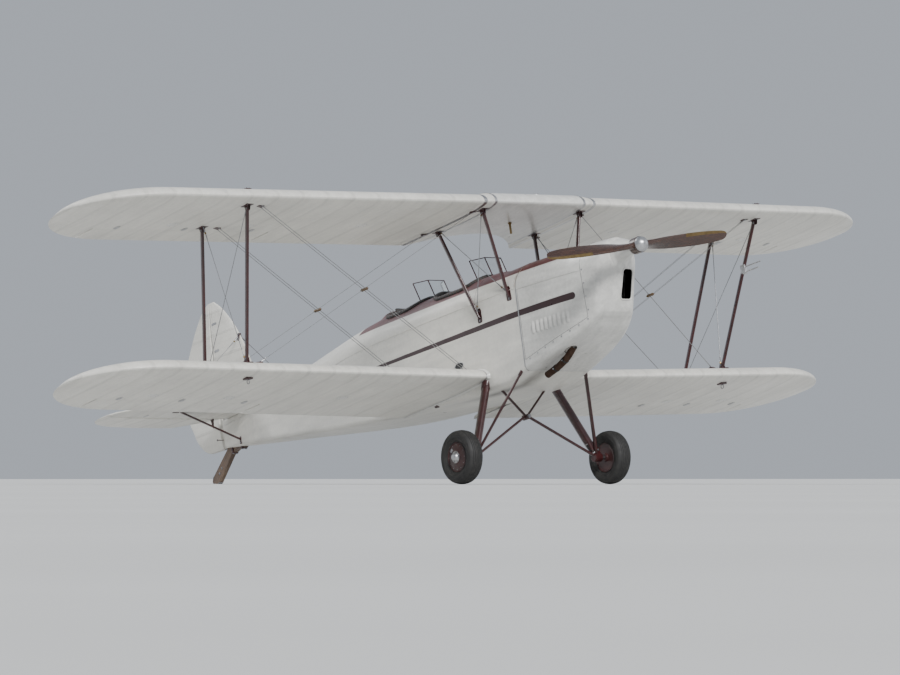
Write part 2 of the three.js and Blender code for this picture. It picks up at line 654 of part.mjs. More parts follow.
function buildStruts() {
  const centre = centreSolid(SEAT_GAP);
  for (const [word, side] of SIDES) {
    const wings = [wingCutter(UPPER, side), wingCutter(LOWER, side)];
    for (const [place, top, foot] of CABANES) {
      const shape = strut(onSide(top, side), onSide(foot, side), CABANE_SECTION);
      add(`cabane_${place}_${word}`, trim(shape, [centre, fuselageCutter]), 'strut');
    }
    for (const [place, top, foot] of INTERPLANES) {
      const shape = strut(onSide(top, side), onSide(foot, side), INTERPLANE_SECTION);
      add(`interplane_${place}_${word}`, trim(shape, wings), 'strut');
    }
    for (const [kind, from, to] of STAYS) {
      const shape = rod(onSide(from, side), onSide(to, side), STAY_RADIUS, 6);
      add(`${kind}_${word}`, trim(shape, [...wings, centre, fuselageCutter]), 'wire');
    }
  }
}

function turned(outline, segments) {
  return new THREE.LatheGeometry(outline.map(([r, y]) => new THREE.Vector2(r, y)), segments);
}

function buildWheels() {
  const shapes = [['tyre', TYRE_OUTLINE, 48, 'tyre'], ['wheel', WHEEL_OUTLINE, 32, 'alloy']];
  for (const [word, side] of SIDES) {
    for (const [name, outline, segments, finish] of shapes) {
      const geometry = turned(outline, segments).rotateZ(-side * Math.PI / 2);
      add(`${name}_${word}`, solid(geometry), finish).position.x = side * AXLE_X;
    }
  }
}

function apexPin(grow = 0) {
  const [x, forward, up] = PYLON_APEX;
  return rod(at(x, forward - APEX_HALF, up), at(x, forward + APEX_HALF, up), APEX_RADIUS + grow, 16);
}

// The two half-axle members of one side and the boss that joins them, grown by a gap as a tool.
function axleMembers(side, grow = 0) {
  const [bossFrom, bossTo] = BOSS.x;
  const inner = at(side * (bossFrom + BOSS.radius), 0, 0);
  const grown = (section) => section.map((size) => size + 2 * grow);
  return [
    rod(at(side * bossFrom, 0, 0), at(side * bossTo, 0, 0), BOSS.radius + grow, 20),
    strut(inner, onSide(AXLE_ROOT, side), grown(AXLE_SECTION)),
    strut(inner, onSide(ROD_TOP, side), grown(ROD_SECTION)),
  ];
}

function buildUndercarriage() {
  const legs = SIDES.map(([, side]) => strut(
    at(...PYLON_APEX), onSide(PYLON_FOOT, side), PYLON_SECTION,
  ));
  add('pylon', trim(join([apexPin(), ...legs]), [fuselageCutter]), 'strut');
  for (const [word, side] of SIDES) {
    const hung = [fuselageCutter, wingCutter(LOWER, side)];
    const stub = rod(
      at(side * BOSS.x[0], 0, 0), at(side * (AXLE_X + STUB_END), 0, 0), STUB_RADIUS, 16,
    );
    const vee = join([...axleMembers(side), stub]);
    add(`axle_${word}`, trim(vee, [apexPin(SEAT_GAP), ...legs, ...hung]), 'strut');
    const leg = strut(onSide(LEG_FOOT, side), onSide(LEG_TOP, side), LEG_SECTION);
    const below = block(
      [-2 * AXLE_X, 2 * AXLE_X], [-LEG_SECTION[0], LEG_SECTION[0]], [-TYRE_RADIUS, LEG_CUT_UNDER],
    );
    const clear = [...axleMembers(side, 1), below];
    add(`shock_leg_${word}`, trim(leg, [...clear, ...hung]), 'strut');
  }
}

function groundAngle() {
  const [forward, up] = SKID_TOUCH;
  return Math.atan2(up, -forward) + Math.asin(TYRE_RADIUS / Math.hypot(forward, up));
}

function buildSkid() {
  const angle = groundAngle();
  const [touchForward, touchUp] = SKID_TOUCH;
  const onGround = ([distance, height]) => [
    touchForward + distance * Math.cos(angle) + height * Math.sin(angle),
    touchUp - distance * Math.sin(angle) + height * Math.cos(angle),
  ];
  const outline = [...SHOE_SOLE.map(onGround), ...SPRING_FACES, ...SHOE_HEEL.map(onGround)];
  const shape = new THREE.Shape(outline.map(([forward, up]) => new THREE.Vector2(forward, up)));
  const geometry = new THREE.ExtrudeGeometry(shape, { depth: SKID_WIDTH, bevelEnabled: false });
  geometry.translate(0, 0, -SKID_WIDTH / 2);
  geometry.applyMatrix4(new THREE.Matrix4().makeBasis(FORWARD, UP, PORT.clone().negate()));
  add('tail_skid', trim(solid(geometry), [tailConeCutter]), 'wood');
}

function bladeRing([radius, chord, thickness, pitch], hand) {
  const angle = hand * radians(pitch);
  const along = new THREE.Vector3(0, -Math.sin(angle), Math.cos(angle)).multiplyScalar(hand);
  const across = PORT.clone().multiplyScalar(hand).cross(along);
  return lensRing(new THREE.Vector3(hand * radius, 0, 0), along, across, chord, thickness);
}

function buildPropeller() {
  const blades = [1, -1].map((hand) => loft(BLADE.map((row) => bladeRing(row, hand))));
  const hub = rod(at(0, -HUB_HALF_LENGTH, 0), at(0, HUB_HALF_LENGTH, 0), HUB_RADIUS, 28);
  const wide = [-HUB_FACE_CUT, HUB_FACE_CUT];
  const faces = [1, -1].map((end) => {
    const reach = [end * (HUB_HALF_LENGTH - 0.1), end * HUB_FACE_CUT].sort((a, b) => a - b);
    return block(wide, reach, wide);
  });
  const cap = turned(SPINNER_OUTLINE, 28).rotateX(Math.PI);
  cap.translate(0, -HUB_HALF_LENGTH - SEAT_GAP, 0);
  const pieces = [
    add('propeller', cut(join([...blades, hub]), faces), 'wood'),
    add('spinner', solid(cap), 'alloy'),
  ];
  for (const piece of pieces) {
    piece.position.copy(at(0, PROPELLER_FORWARD, SHAFT_HEIGHT));
    piece.rotation.y = -BLADE_ANGLE;
  }
}

function seatSolid(back) {
  const { half, cheek, sheet, depth, pan, arm } = SEAT;
  const cheeks = SIDES.map(([, side]) => {
    const x = [side * (half - cheek), side * half].sort((a, b) => a - b);
    return block(x, [back, back + depth], [FLOOR_UNDER, arm]);
  });
  return join([
    block([-half, half], [back, back + depth], pan),
    block([-half, half], [back, back + sheet], [pan[0], SEAT.back]), ...cheeks,
  ]);
}

function buildCockpits() {
  const inner = hull(TUB_STATIONS, -TUB_WALL - SEAT_GAP);
  for (const [word, centre, halfLength, halfWidth] of COCKPITS) {
    const panelForward = centre + halfLength + PANEL.ahead;
    const panel = block(
      [-CENTRE_HALF, CENTRE_HALF], [panelForward - PANEL.half, panelForward + PANEL.half], PANEL.up,
    );
    add(`instrument_panel_${word}`, inner.intersect(panel), 'panel');
    add(`seat_${word}`, seatSolid(centre - halfLength + 10).intersect(inner), 'leather');
    const [foot, grip] = [STICK.foot, STICK.grip].map(([ahead, up]) => at(0, centre + ahead, up));
    add(`stick_${word}`, rod(foot, grip, STICK.radius, 10).intersect(inner), 'iron');
    add(`windscreen_${word}`, windscreen(centre + halfLength), 'glass');
  }
}

// Three flat panes in one sheet, leaning back over the cockpit's front edge.
function windscreen(forward) {
  const { thickness, narrower, lean, up, ahead } = WINDSCREEN;
  const inner = WINDSCREEN_PLAN.map(([x, y]) => [x * narrower, y - thickness]).reverse();
  const outline = [...WINDSCREEN_PLAN, ...inner].map(([x, y]) => new THREE.Vector2(x, -y));
  const geometry = new THREE.ExtrudeGeometry(
    new THREE.Shape(outline), { depth: up[1] - up[0], bevelEnabled: false },
  );
  geometry.applyMatrix4(new THREE.Matrix4().makeShear(0, 0, 0, 0, 0, lean));
  geometry.translate(0, -forward - ahead, up[0]);
  return trim(solid(geometry), [fuselageCutter]);
}

buildFuselage();
buildCowl();
buildEngine();
buildTailplane();
buildVerticalTail();
buildTailBraces();
for (const [word, side] of SIDES) {
  buildWing('upper', UPPER, word, side);
  buildWing('lower', LOWER, word, side);
}
buildCentreSection();
buildStruts();
buildWheels();
buildUndercarriage();
buildSkid();
buildPropeller();
buildCockpits();

const biplane = new THREE.Group();
level.rotation.x = -groundAngle();
biplane.add(level);
biplane.updateMatrixWorld(true);
const bounds = new THREE.Box3().setFromObject(biplane, true);
level.position.set(0, -(bounds.min.y + bounds.max.y) / 2, -bounds.min.z);

export default biplane;
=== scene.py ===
# Looks of the two-seat training biplane: smooth surfaces, fittings, finishes, stage and camera.
# Shapes are drawn in the aircraft's level axes, in metres from the middle of the wheel axle:
# x to port, f forward and z up. The frame gives where those axes lie on the parked aircraft.
import json
import math

import bmesh
import bpy
import numpy as np
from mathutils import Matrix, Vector
from mathutils.bvhtree import BVHTree


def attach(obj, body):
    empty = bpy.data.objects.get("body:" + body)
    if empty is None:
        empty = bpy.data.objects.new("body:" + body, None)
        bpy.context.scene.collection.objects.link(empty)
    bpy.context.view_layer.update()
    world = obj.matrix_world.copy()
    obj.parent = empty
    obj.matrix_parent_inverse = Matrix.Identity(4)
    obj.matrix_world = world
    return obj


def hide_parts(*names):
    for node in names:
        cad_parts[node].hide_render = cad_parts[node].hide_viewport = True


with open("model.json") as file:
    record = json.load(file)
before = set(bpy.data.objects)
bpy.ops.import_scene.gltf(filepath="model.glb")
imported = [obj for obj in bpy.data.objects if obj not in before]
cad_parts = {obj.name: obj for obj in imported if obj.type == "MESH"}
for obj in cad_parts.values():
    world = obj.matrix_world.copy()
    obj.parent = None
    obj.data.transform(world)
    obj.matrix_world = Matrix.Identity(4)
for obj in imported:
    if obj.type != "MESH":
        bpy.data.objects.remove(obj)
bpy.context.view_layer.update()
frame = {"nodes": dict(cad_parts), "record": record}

JOINTS = {joint["name"]: joint for joint in frame["record"]["behaviour"]["joints"]}
PORT = np.array([1.0, 0.0, 0.0])
UP = np.array(JOINTS["rudder_hinge"]["axis"])
FORWARD = np.cross(PORT, UP)
LEVEL_AXES = np.stack([PORT, FORWARD, UP])
AXLE = np.array(JOINTS["wheel_left_roll"]["pos_m"]) * (0, 1, 1)
GROUND_ANGLE = math.atan2(UP[1], UP[2])
SIDES = (("left", 1), ("right", -1))
FULL_TURN = 2 * math.pi
# Edges that turn by more degrees than this stay sharp, and points nearer than this are joined.
SHARP_ANGLE = 32
MERGE = 2e-5
# Directions in level axes.
X, F, Z = np.eye(3)
ORIGIN = (0, 0, 0)


def to_row(points):
    """Level points, as an array whose last axis is x, f, z, in the frame of the row."""
    return AXLE + np.asarray(points, float) @ LEVEL_AXES


def to_level(point):
    return (np.asarray(point, float) - AXLE) @ LEVEL_AXES.T


# Curves and meshes. A part is a pair of level points and faces.


def unit(vectors):
    """Vectors at a length of one."""
    vectors = np.asarray(vectors, float)
    return vectors / np.linalg.norm(vectors, axis=-1, keepdims=True)


def distances(path):
    """The way along a path from its start to each of its points."""
    return np.concatenate([[0], np.cumsum(np.linalg.norm(np.diff(path, axis=0), axis=1))])


def around(count, start=0.0):
    """Angles spread evenly over a full turn."""
    return np.arange(count) / count * FULL_TURN + start


def curve(table, at):
    """Monotone cubic interpolation of a table's columns; its first column is the place."""
    table = np.asarray(table, float)
    if table[0, 0] > table[-1, 0]:
        table = table[::-1]
    x, y = table[:, 0], table[:, 1:]
    step = np.diff(x)[:, None]
    slope = np.diff(y, axis=0) / step
    same = slope[:-1] * slope[1:] > 0
    mean = 2 * slope[:-1] * slope[1:] / np.where(same, slope[:-1] + slope[1:], 1)
    tangent = np.vstack([slope[:1], np.where(same, mean, 0), slope[-1:]])
    at = np.clip(np.asarray(at, float), x[0], x[-1])
    i = np.clip(np.searchsorted(x, at) - 1, 0, len(x) - 2)
    h = step[i, 0][..., None]
    t = (at - x[i])[..., None] / h
    return (y[i] * (1 + 2 * t) * (1 - t) ** 2 + tangent[i] * h * t * (1 - t) ** 2
            + y[i + 1] * t * t * (3 - 2 * t) + tangent[i + 1] * h * t * t * (t - 1))


def ramp(low, high, value):
    """0 up to low and 1 from high on, smooth between."""
    t = np.clip((np.asarray(value, float) - low) / (high - low), 0, 1)
    return t * t * (3 - 2 * t)


def loft(rings, closed=True, caps=True):
    """The surface through rings of equal length."""
    rings = np.asarray(rings, float)
    count, n = rings.shape[:2]
    i = np.arange(count - 1)[:, None] * n
    j = np.arange(n if closed else n - 1)[None, :]
    k = (j + 1) % n
    quads = np.stack([i + j, i + k, i + n + k, i + n + j], -1).reshape(-1, 4).tolist()
    ends = [list(range(n))[::-1], list(range((count - 1) * n, count * n))] if caps else []
    return rings.reshape(-1, 3), quads + ends


def belt(rings):
    """A thin closed band round a body, from rings that run along its length and back."""
    return loft(np.swapaxes(rings, 0, 1))


def frames_along(path):
    """Unit tangents of a path and two directions across it, carried along without twist."""
    path = np.asarray(path, float)
    tangent = unit(np.gradient(path, axis=0))
    across = np.zeros_like(path)
    first = np.eye(3)[np.argmin(np.abs(tangent[0]))]
    for i, direction in enumerate(tangent):
        first = unit(first - direction * first.dot(direction))
        across[i] = first
    return tangent, across, np.cross(tangent, across)


def inward(grid, run, wall):
    """A grid moved in by the thickness of a wall; run leads from point to point of its rows."""
    normal = np.cross(np.gradient(grid, axis=0), run)
    normal /= np.maximum(np.linalg.norm(normal, axis=2), 1e-9)[..., None]
    outward = grid - grid.mean(axis=1, keepdims=True)
    return grid - wall * normal * np.sign((normal * outward).sum())


def walled(rings, wall, outside, inside):
    """Keyed parts of a closed shell: the outer surface, the inner one and the two rims."""
    rings = np.asarray(rings, float)
    inner = inward(rings, np.roll(rings, -1, axis=1) - np.roll(rings, 1, axis=1), wall)
    return [(loft(rings, caps=False), outside), (loft(inner, caps=False), inside),
            (loft([rings[0], inner[0]], caps=False), inside),
            (loft([rings[-1], inner[-1]], caps=False), inside)]


def plated(grid, wall):
    """A closed sheet of metal: a grid of points and its copy one wall further in."""
    grid = np.asarray(grid, float)
    inner = inward(grid, np.gradient(grid, axis=1), wall)
    return loft(np.concatenate([grid, inner[:, ::-1]], axis=1))


def circles(path, across, through, radius, sides):
    """A circle of points round each point of a path."""
    angle = around(sides)[None, :, None]
    radius = np.broadcast_to(radius, len(path))[:, None, None]
    return path[:, None] + radius * (across[:, None] * np.cos(angle)
                                     + through[:, None] * np.sin(angle))


def tube_rings(path, radius, sides):
    path = np.asarray(path, float)
    return circles(path, *frames_along(path)[1:], radius, sides)


def tube(path, radius, sides=12):
    """A round bar along a path; radius is one number or one per point."""
    return loft(tube_rings(path, radius, sides))


def hoop(path, radius, sides):
    """A round bar without a seam along a closed path that lies fairly flat."""
    path = np.asarray(path, float)
    tangent = unit(np.roll(path, -1, axis=0) - np.roll(path, 1, axis=0))
    across = unit(np.cross(tangent, Z))
    rings = circles(path, across, np.cross(tangent, across), radius, sides)
    return loft(np.concatenate([rings, rings[:1]]), caps=False)


def upright_hoop(path, radius, sides):
    """A round bar without a seam along a closed path in any plane."""
    path = np.asarray(path, float)
    path = path[np.linalg.norm(path - np.roll(path, 1, axis=0), axis=1) > 1e-4]
    wrapped = np.concatenate([path[-2:], path, path[:2]])
    rings = tube_rings(wrapped, radius, sides)[2:-2]
    return loft(np.concatenate([rings, rings[:1]]), caps=False)


def smooth_path(points, count):
    """A rounded path through a few points, as equally many steps of its length."""
    points = np.asarray(points, float)
    length = distances(points)
    return curve(np.column_stack([length, points]), np.linspace(0, length[-1], count))


def revolve(outline, centre, axis, sides=32):
    """Turns an outline of radius and distance along the axis; ends off the axis are capped."""
    axis = unit(axis)
    first = unit(np.cross(axis, np.eye(3)[np.argmin(np.abs(axis))]))
    second = np.cross(axis, first)
    angle = around(sides)[:, None]
    spokes = first * np.cos(angle) + second * np.sin(angle)
    rings = [np.asarray(centre) + axis * along + spokes * max(radius, 1e-5)
             for radius, along in outline]
    return loft(rings)


def block(low, high, bevel=0.003, segments=2):
    """A block between two corners with rounded edges."""
    low, high = np.minimum(low, high), np.maximum(low, high)
    shape = bmesh.new()
    bmesh.ops.create_cube(shape, size=1)
    for vertex in shape.verts:
        vertex.co = Vector((low + high) / 2 + (high - low) * np.array(vertex.co))
    if bevel:
        bmesh.ops.bevel(shape, geom=shape.edges[:], offset=bevel, segments=segments,
                        affect="EDGES", profile=0.6)
    shape.verts.index_update()
    result = ([list(v.co) for v in shape.verts], [[v.index for v in f.verts] for f in shape.faces])
    shape.free()
    return result


def prism(outline, axis, low, high):
    """Extrudes a flat outline of the two other coordinates along one axis from low to high."""
    outline = np.asarray(outline, float)
    return loft([np.insert(outline, axis, place, axis=1) for place in (low, high)])


def moved(part, function):
    return function(np.asarray(part[0], float)), part[1]


def on_side(points, side):
    """Port points as they are, or their mirror images."""
    return np.asarray(points, float) * (side, 1, 1)


def basis(normal, hint):
    """Two directions along a surface, the first as near as it can be to the hint, and its normal."""
    normal = unit(normal)
    first = unit(np.asarray(hint, float) - normal * normal.dot(hint))
    return first, np.cross(normal, first), normal


def placed(part, origin, axes):
    """Moves a part drawn about its own origin onto three level axes at a level point."""
    return moved(part, lambda points: np.asarray(origin) + points @ np.stack(axes))


def shifted(point, axes, spot):
    """A point moved along three axes."""
    return np.asarray(point) + np.asarray(spot, float) @ np.stack(axes)


def dome(radius, height, sides):
    """A low round head on the plane z = 0."""
    outline = [(radius, -0.001), (radius, height * 0.35), (radius * 0.75, height * 0.85), (0, height)]
    return revolve(outline, ORIGIN, Z, sides)


def bolt(radius, height):
    """A washer and a hexagonal head on the plane z = 0."""
    rim = radius * 1.5
    washer = revolve([(rim, -0.001), (rim, height * 0.25), (0, height * 0.25)], ORIGIN, Z, 16)
    head = [(radius, 0), (radius, height * 0.9), (radius * 0.8, height), (0, height)]
    return washer, revolve(head, ORIGIN, Z, 6)


class Kit:
    """The parts of one object, drawn in level axes, each with the key of its material."""

    def __init__(self, *parts):
        self.parts = list(parts)

    def add(self, part, key):
        self.parts.append((part, key))

    def put(self, part, spot, axes, key):
        """Adds a part that is drawn about its own origin."""
        self.add(placed(part, spot, axes), key)

    def rod(self, path, radius, sides, key):
        self.add(tube(path, radius, sides), key)

    def turned(self, outline, centre, axis, sides, key):
        self.add(revolve(outline, centre, axis, sides), key)

    def rivets(self, size, point, axes, spots=(ORIGIN,), key="steel", sides=10):
        """Adds round heads of a radius and height at spots along the axes from a point."""
        for spot in spots:
            self.put(dome(*size, sides), shifted(point, axes, spot), axes, key)

    def bolts(self, size, point, axes, spots=(ORIGIN,)):
        """Adds bolts of a radius and height at spots along the axes from a point."""
        for spot in spots:
            for part in bolt(*size):
                self.put(part, shifted(point, axes, spot), axes, "steel")

    def turn(self, function):
        """Moves everything added so far."""
        self.parts = [(moved(part, function), key) for part, key in self.parts]
        return self

    def mirror(self, side):
        return self.turn(lambda points: on_side(points, side))

    def piece(self, name, slot, body="airframe", replaces=(), sharp=SHARP_ANGLE):
        """Makes one object of the parts, which rides on a body and may stand for CAD nodes."""
        vertices, faces, indices, keys = [], [], [], []
        for (points, polygons), key in self.parts:
            if key not in keys:
                keys.append(key)
            start = len(vertices)
            vertices.extend(to_row(points).tolist())
            faces.extend([[start + i for i in polygon] for polygon in polygons])
            indices.extend([keys.index(key)] * len(polygons))
        mesh = bpy.data.meshes.new(name)
        mesh.from_pydata(vertices, [], faces)
        mesh.polygons.foreach_set("material_index", indices)
        clean = bmesh.new()
        clean.from_mesh(mesh)
        bmesh.ops.remove_doubles(clean, verts=clean.verts, dist=MERGE)
        bmesh.ops.dissolve_degenerate(clean, edges=clean.edges, dist=MERGE / 2)
        bmesh.ops.recalc_face_normals(clean, faces=clean.faces)
        clean.to_mesh(mesh)
        clean.free()
        for key in keys:
            mesh.materials.append(MATERIALS[key])
        shade(mesh, sharp)
        thing = bpy.data.objects.new(name, mesh)
        bpy.context.scene.collection.objects.link(thing)
        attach(thing, body)
        if replaces:
            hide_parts(*replaces)
        return thing


def shade(mesh, sharp=SHARP_ANGLE):
    mesh.shade_smooth()
    mesh.set_sharp_from_angle(angle=math.radians(sharp))


def tree_of(name):
    """A search tree over the surface of a finished piece."""
    mesh = bpy.data.objects[name].data
    faces = [face.vertices[:] for face in mesh.polygons]
    return BVHTree.FromPolygons([vertex.co[:] for vertex in mesh.vertices], faces)


def cast(tree, point, direction):
    """Where a ray from a level point meets a surface, and the surface's normal there, both level."""
    direction = np.asarray(direction, float)
    hit, normal, _, _ = tree.ray_cast(Vector(to_row(point)), Vector(direction @ LEVEL_AXES))
    if hit is None:
        return np.asarray(point, float), -direction
    normal = LEVEL_AXES @ np.array(normal)
    return to_level(hit), normal if normal @ direction < 0 else -normal


def cut_out(thing, tools):
    """Boolean difference with closed tools drawn in level axes."""
    for points, polygons in tools:
        mesh = bpy.data.meshes.new("tool")
        mesh.from_pydata(to_row(points).tolist(), [], polygons)
        shape = bmesh.new()
        shape.from_mesh(mesh)
        bmesh.ops.recalc_face_normals(shape, faces=shape.faces)
        shape.to_mesh(mesh)
        shape.free()
        tool = bpy.data.objects.new("tool", mesh)
        bpy.context.scene.collection.objects.link(tool)
        modifier = thing.modifiers.new("cut", "BOOLEAN")
        modifier.object = tool
        modifier.operation = "DIFFERENCE"
        modifier.solver = "EXACT"
        apply_modifiers(thing)
        bpy.data.objects.remove(tool)
        bpy.data.meshes.remove(mesh)
    shade(thing.data)


def apply_modifiers(thing):
    depsgraph = bpy.context.evaluated_depsgraph_get()
    mesh = bpy.data.meshes.new_from_object(thing.evaluated_get(depsgraph))
    thing.modifiers.clear()
    old = thing.data
    thing.data = mesh
    bpy.data.meshes.remove(old)


# Materials. Every pattern is placed in level axes, so that it follows the aircraft's own lines.


def scaled(color, share):
    return tuple(channel * share for channel in color)


class Nodes:
    """A material under construction, with short forms for the nodes it uses."""

    def __init__(self, name):
        self.material = bpy.data.materials.new(name)
        self.material.use_nodes = True
        self.tree = self.material.node_tree
        self.shader = self.tree.nodes["Principled BSDF"]
        coordinates = self.node("ShaderNodeTexCoord")
        turn = self.node("ShaderNodeMapping")
        shift = self.node("ShaderNodeVectorMath", operation="SUBTRACT")
        shift.inputs[1].default_value = AXLE
        turn.inputs["Rotation"].default_value = (GROUND_ANGLE, 0, 0)
        self.link(coordinates.outputs["Object"], shift.inputs[0])
        self.link(shift.outputs[0], turn.inputs["Vector"])
        self.place = turn.outputs["Vector"]

    def node(self, kind, **settings):
        node = self.tree.nodes.new(kind)
        for key, value in settings.items():
            setattr(node, key, value)
        return node

    def link(self, source, target):
        self.tree.links.new(source, target)

    def put(self, value, target):
        if isinstance(value, (int, float, tuple)):
            target.default_value = value
        else:
            self.link(value, target)

    def lean(self, angle):
        """Turns the pattern's axes about x, for a part that slopes up or down."""
        turn = self.node("ShaderNodeMapping")
        turn.inputs["Rotation"].default_value = (angle, 0, 0)
        self.link(self.place, turn.inputs["Vector"])
        self.place = turn.outputs["Vector"]

    def math(self, operation, a, b=0.0):
        node = self.node("ShaderNodeMath", operation=operation)
        self.put(a, node.inputs[0])
        self.put(b, node.inputs[1])
        return node.outputs[0]

    def product(self, value, *factors):
        for factor in factors:
            value = self.math("MULTIPLY", value, factor)
        return value

    def axis(self, letter):
        """One level coordinate: x to port, f forward, z up."""
        split = self.node("ShaderNodeSeparateXYZ")
        self.link(self.place, split.inputs[0])
        if letter == "f":
            return self.math("MULTIPLY", split.outputs["Y"], -1.0)
        return split.outputs["X" if letter == "x" else "Z"]

    def step(self, value, low, high):
        """0 below low and 1 over high, smooth between."""
        node = self.node("ShaderNodeMapRange", interpolation_type="SMOOTHSTEP")
        node.inputs["From Min"].default_value = low
        node.inputs["From Max"].default_value = high
        self.link(value, node.inputs["Value"])
        return node.outputs["Result"]

    def noise(self, scale, detail=4.0, stretch=(1, 1, 1), distortion=0.0):
        mapping = self.node("ShaderNodeMapping")
        mapping.inputs["Scale"].default_value = stretch
        self.link(self.place, mapping.inputs["Vector"])
        noise = self.node("ShaderNodeTexNoise")
        noise.inputs["Scale"].default_value = scale
        noise.inputs["Detail"].default_value = detail
        noise.inputs["Distortion"].default_value = distortion
        self.link(mapping.outputs["Vector"], noise.inputs["Vector"])
        return noise.outputs["Fac"]

    def wave(self, spacing, letter, offset=0.0, sharp=2.0):
        """A ridge of height 1 at every multiple of the spacing along one axis."""
        cycle = self.math("MULTIPLY", self.math("ADD", self.axis(letter), offset), math.pi / spacing)
        return self.math("POWER", self.math("ABSOLUTE", self.math("COSINE", cycle)), sharp)

    def mix(self, factor, a, b, **settings):
        node = self.node("ShaderNodeMix", data_type="RGBA", **settings)
        self.put(factor, node.inputs["Factor"])
        for socket, value in (("A", a), ("B", b)):
            self.put((*value, 1.0) if isinstance(value, tuple) else value, node.inputs[socket])
        return node.outputs["Result"]

    def vary(self, color, amount, *noises):
        """Colour made darker where the noises are low."""
        for noise in noises:
            if isinstance(color, tuple):
                color = self.mix(self.step(noise, 0.3, 0.7), scaled(color, 1 - amount), color)
            else:
                tint = self.mix(self.step(noise, 0.3, 0.7), (1 - amount,) * 3, (1.0, 1.0, 1.0))
                color = self.mix(1.0, color, tint, blend_type="MULTIPLY")
        return color

    def bump(self, height, distance, strength=1.0):
        node = self.node("ShaderNodeBump")
        node.inputs["Distance"].default_value = distance
        node.inputs["Strength"].default_value = strength
        self.link(height, node.inputs["Height"])
        if self.shader.inputs["Normal"].links:
            self.link(self.shader.inputs["Normal"].links[0].from_socket, node.inputs["Normal"])
        self.link(node.outputs["Normal"], self.shader.inputs["Normal"])

    def roughness(self, noise, low, high):
        node = self.node("ShaderNodeMapRange")
        node.inputs["To Min"].default_value = low
        node.inputs["To Max"].default_value = high
        self.link(noise, node.inputs["Value"])
        self.link(node.outputs["Result"], self.shader.inputs["Roughness"])

    def finish(self, color, **sockets):
        self.put((*color, 1.0) if isinstance(color, tuple) else color,
                 self.shader.inputs["Base Color"])
        for name, value in sockets.items():
            self.shader.inputs[name.replace("_", " ")].default_value = value
        return self.material


CREAM = (0.76, 0.74, 0.68)
METAL_CREAM = (0.74, 0.73, 0.69)
MAROON = (0.115, 0.014, 0.016)
STRIPE_COLOR = (0.035, 0.012, 0.014)
SOOT_COLOR = (0.10, 0.085, 0.07)
# Places of the paint and of the exhaust's soot: along the fuselage, and heights.
SOOT = {"x": -0.17, "half": 0.13, "low": 0.6, "high": 0.86, "front": 0.55, "aft": -1.3}
DECK_PAINT = {"low": 1.5, "aft": -1.93, "front": 1.08, "edge": 0.004}
STRIPE = {"height": 1.145, "front": 1.12, "aft": -2.2, "half": 0.03, "aft_half": 0.011}
NOSE_CLEAR = (0.02, 0.03)
# Ribs, which the fabric's relief and its tapes both follow.
RIB_SPACING = 0.235
RIB_OFFSET = 0.06
TAIL_RIB = 0.21
RIB_STITCH = 0.045
WEAVE_SCALE = 900.0
# How the grain of wood is drawn out, as scales along x, f and z.
FIBRES_AFT = (8, 0.3, 8)
FIBRES_ACROSS = (0.3, 8, 8)
EVEN = (1, 1, 1)
SKID_SLOPE = 0.74


def paint_scheme(n, base):
    """Dark decking over the fuselage's top, a thin stripe along its flank, and soot."""
    edge = DECK_PAINT["edge"]
    forward, up = n.axis("f"), n.axis("z")
    over_edge = n.step(up, DECK_PAINT["low"] - edge, DECK_PAINT["low"] + edge)
    behind = n.step(forward, DECK_PAINT["aft"] - edge, DECK_PAINT["aft"] + edge)
    ahead = n.step(forward, DECK_PAINT["front"] + edge, DECK_PAINT["front"] - edge)
    deck = n.product(over_edge, behind, ahead)
    color = n.mix(deck, base, n.vary(MAROON, 0.3, n.noise(9.0)))
    over = n.math("SUBTRACT", up, STRIPE["height"])
    past = n.math("MAXIMUM", n.math("SUBTRACT", forward, STRIPE["front"]), 0.0)
    away = n.math("SQRT", n.math("ADD", n.math("POWER", over, 2.0), n.math("POWER", past, 2.0)))
    growth = (STRIPE["half"] - STRIPE["aft_half"]) / (STRIPE["front"] - STRIPE["aft"])
    half = n.math("MULTIPLY_ADD", n.math("SUBTRACT", forward, STRIPE["aft"]), growth)
    half.node.inputs[2].default_value = STRIPE["aft_half"]
    half = n.math("MINIMUM", half, STRIPE["half"])
    inside = n.step(n.math("SUBTRACT", half, away), -0.0015, 0.0015)
    started = n.step(forward, STRIPE["aft"], STRIPE["aft"] + edge)
    stripe = n.product(n.product(inside, started), n.step(n.math("ABSOLUTE", n.axis("x")), *NOSE_CLEAR))
    color = n.mix(stripe, color, STRIPE_COLOR)
    beside = n.math("ABSOLUTE", n.math("ADD", n.axis("x"), -SOOT["x"]))
    soot = n.product(n.step(beside, SOOT["half"], 0.0), n.step(up, SOOT["high"], SOOT["low"]))
    soot = n.product(soot, n.step(forward, SOOT["aft"], SOOT["front"] - 0.5))
    soot = n.product(soot, n.step(forward, SOOT["front"] + 0.05, SOOT["front"] - 0.1))
    soot = n.product(soot, n.math("ADD", n.noise(7.0, 5.0, (2, 0.5, 2)), 0.2))
    return n.mix(soot, color, SOOT_COLOR)


def grime(n, color, amount, streak=(6, 0.7, 6)):
    """Broad stains and streaks that run back along the airflow."""
    color = n.vary(color, amount, n.noise(2.1, 6.0), n.noise(3.0, 5.0, streak))
    return n.vary(color, amount * 0.6, n.noise(38.0, 3.0))


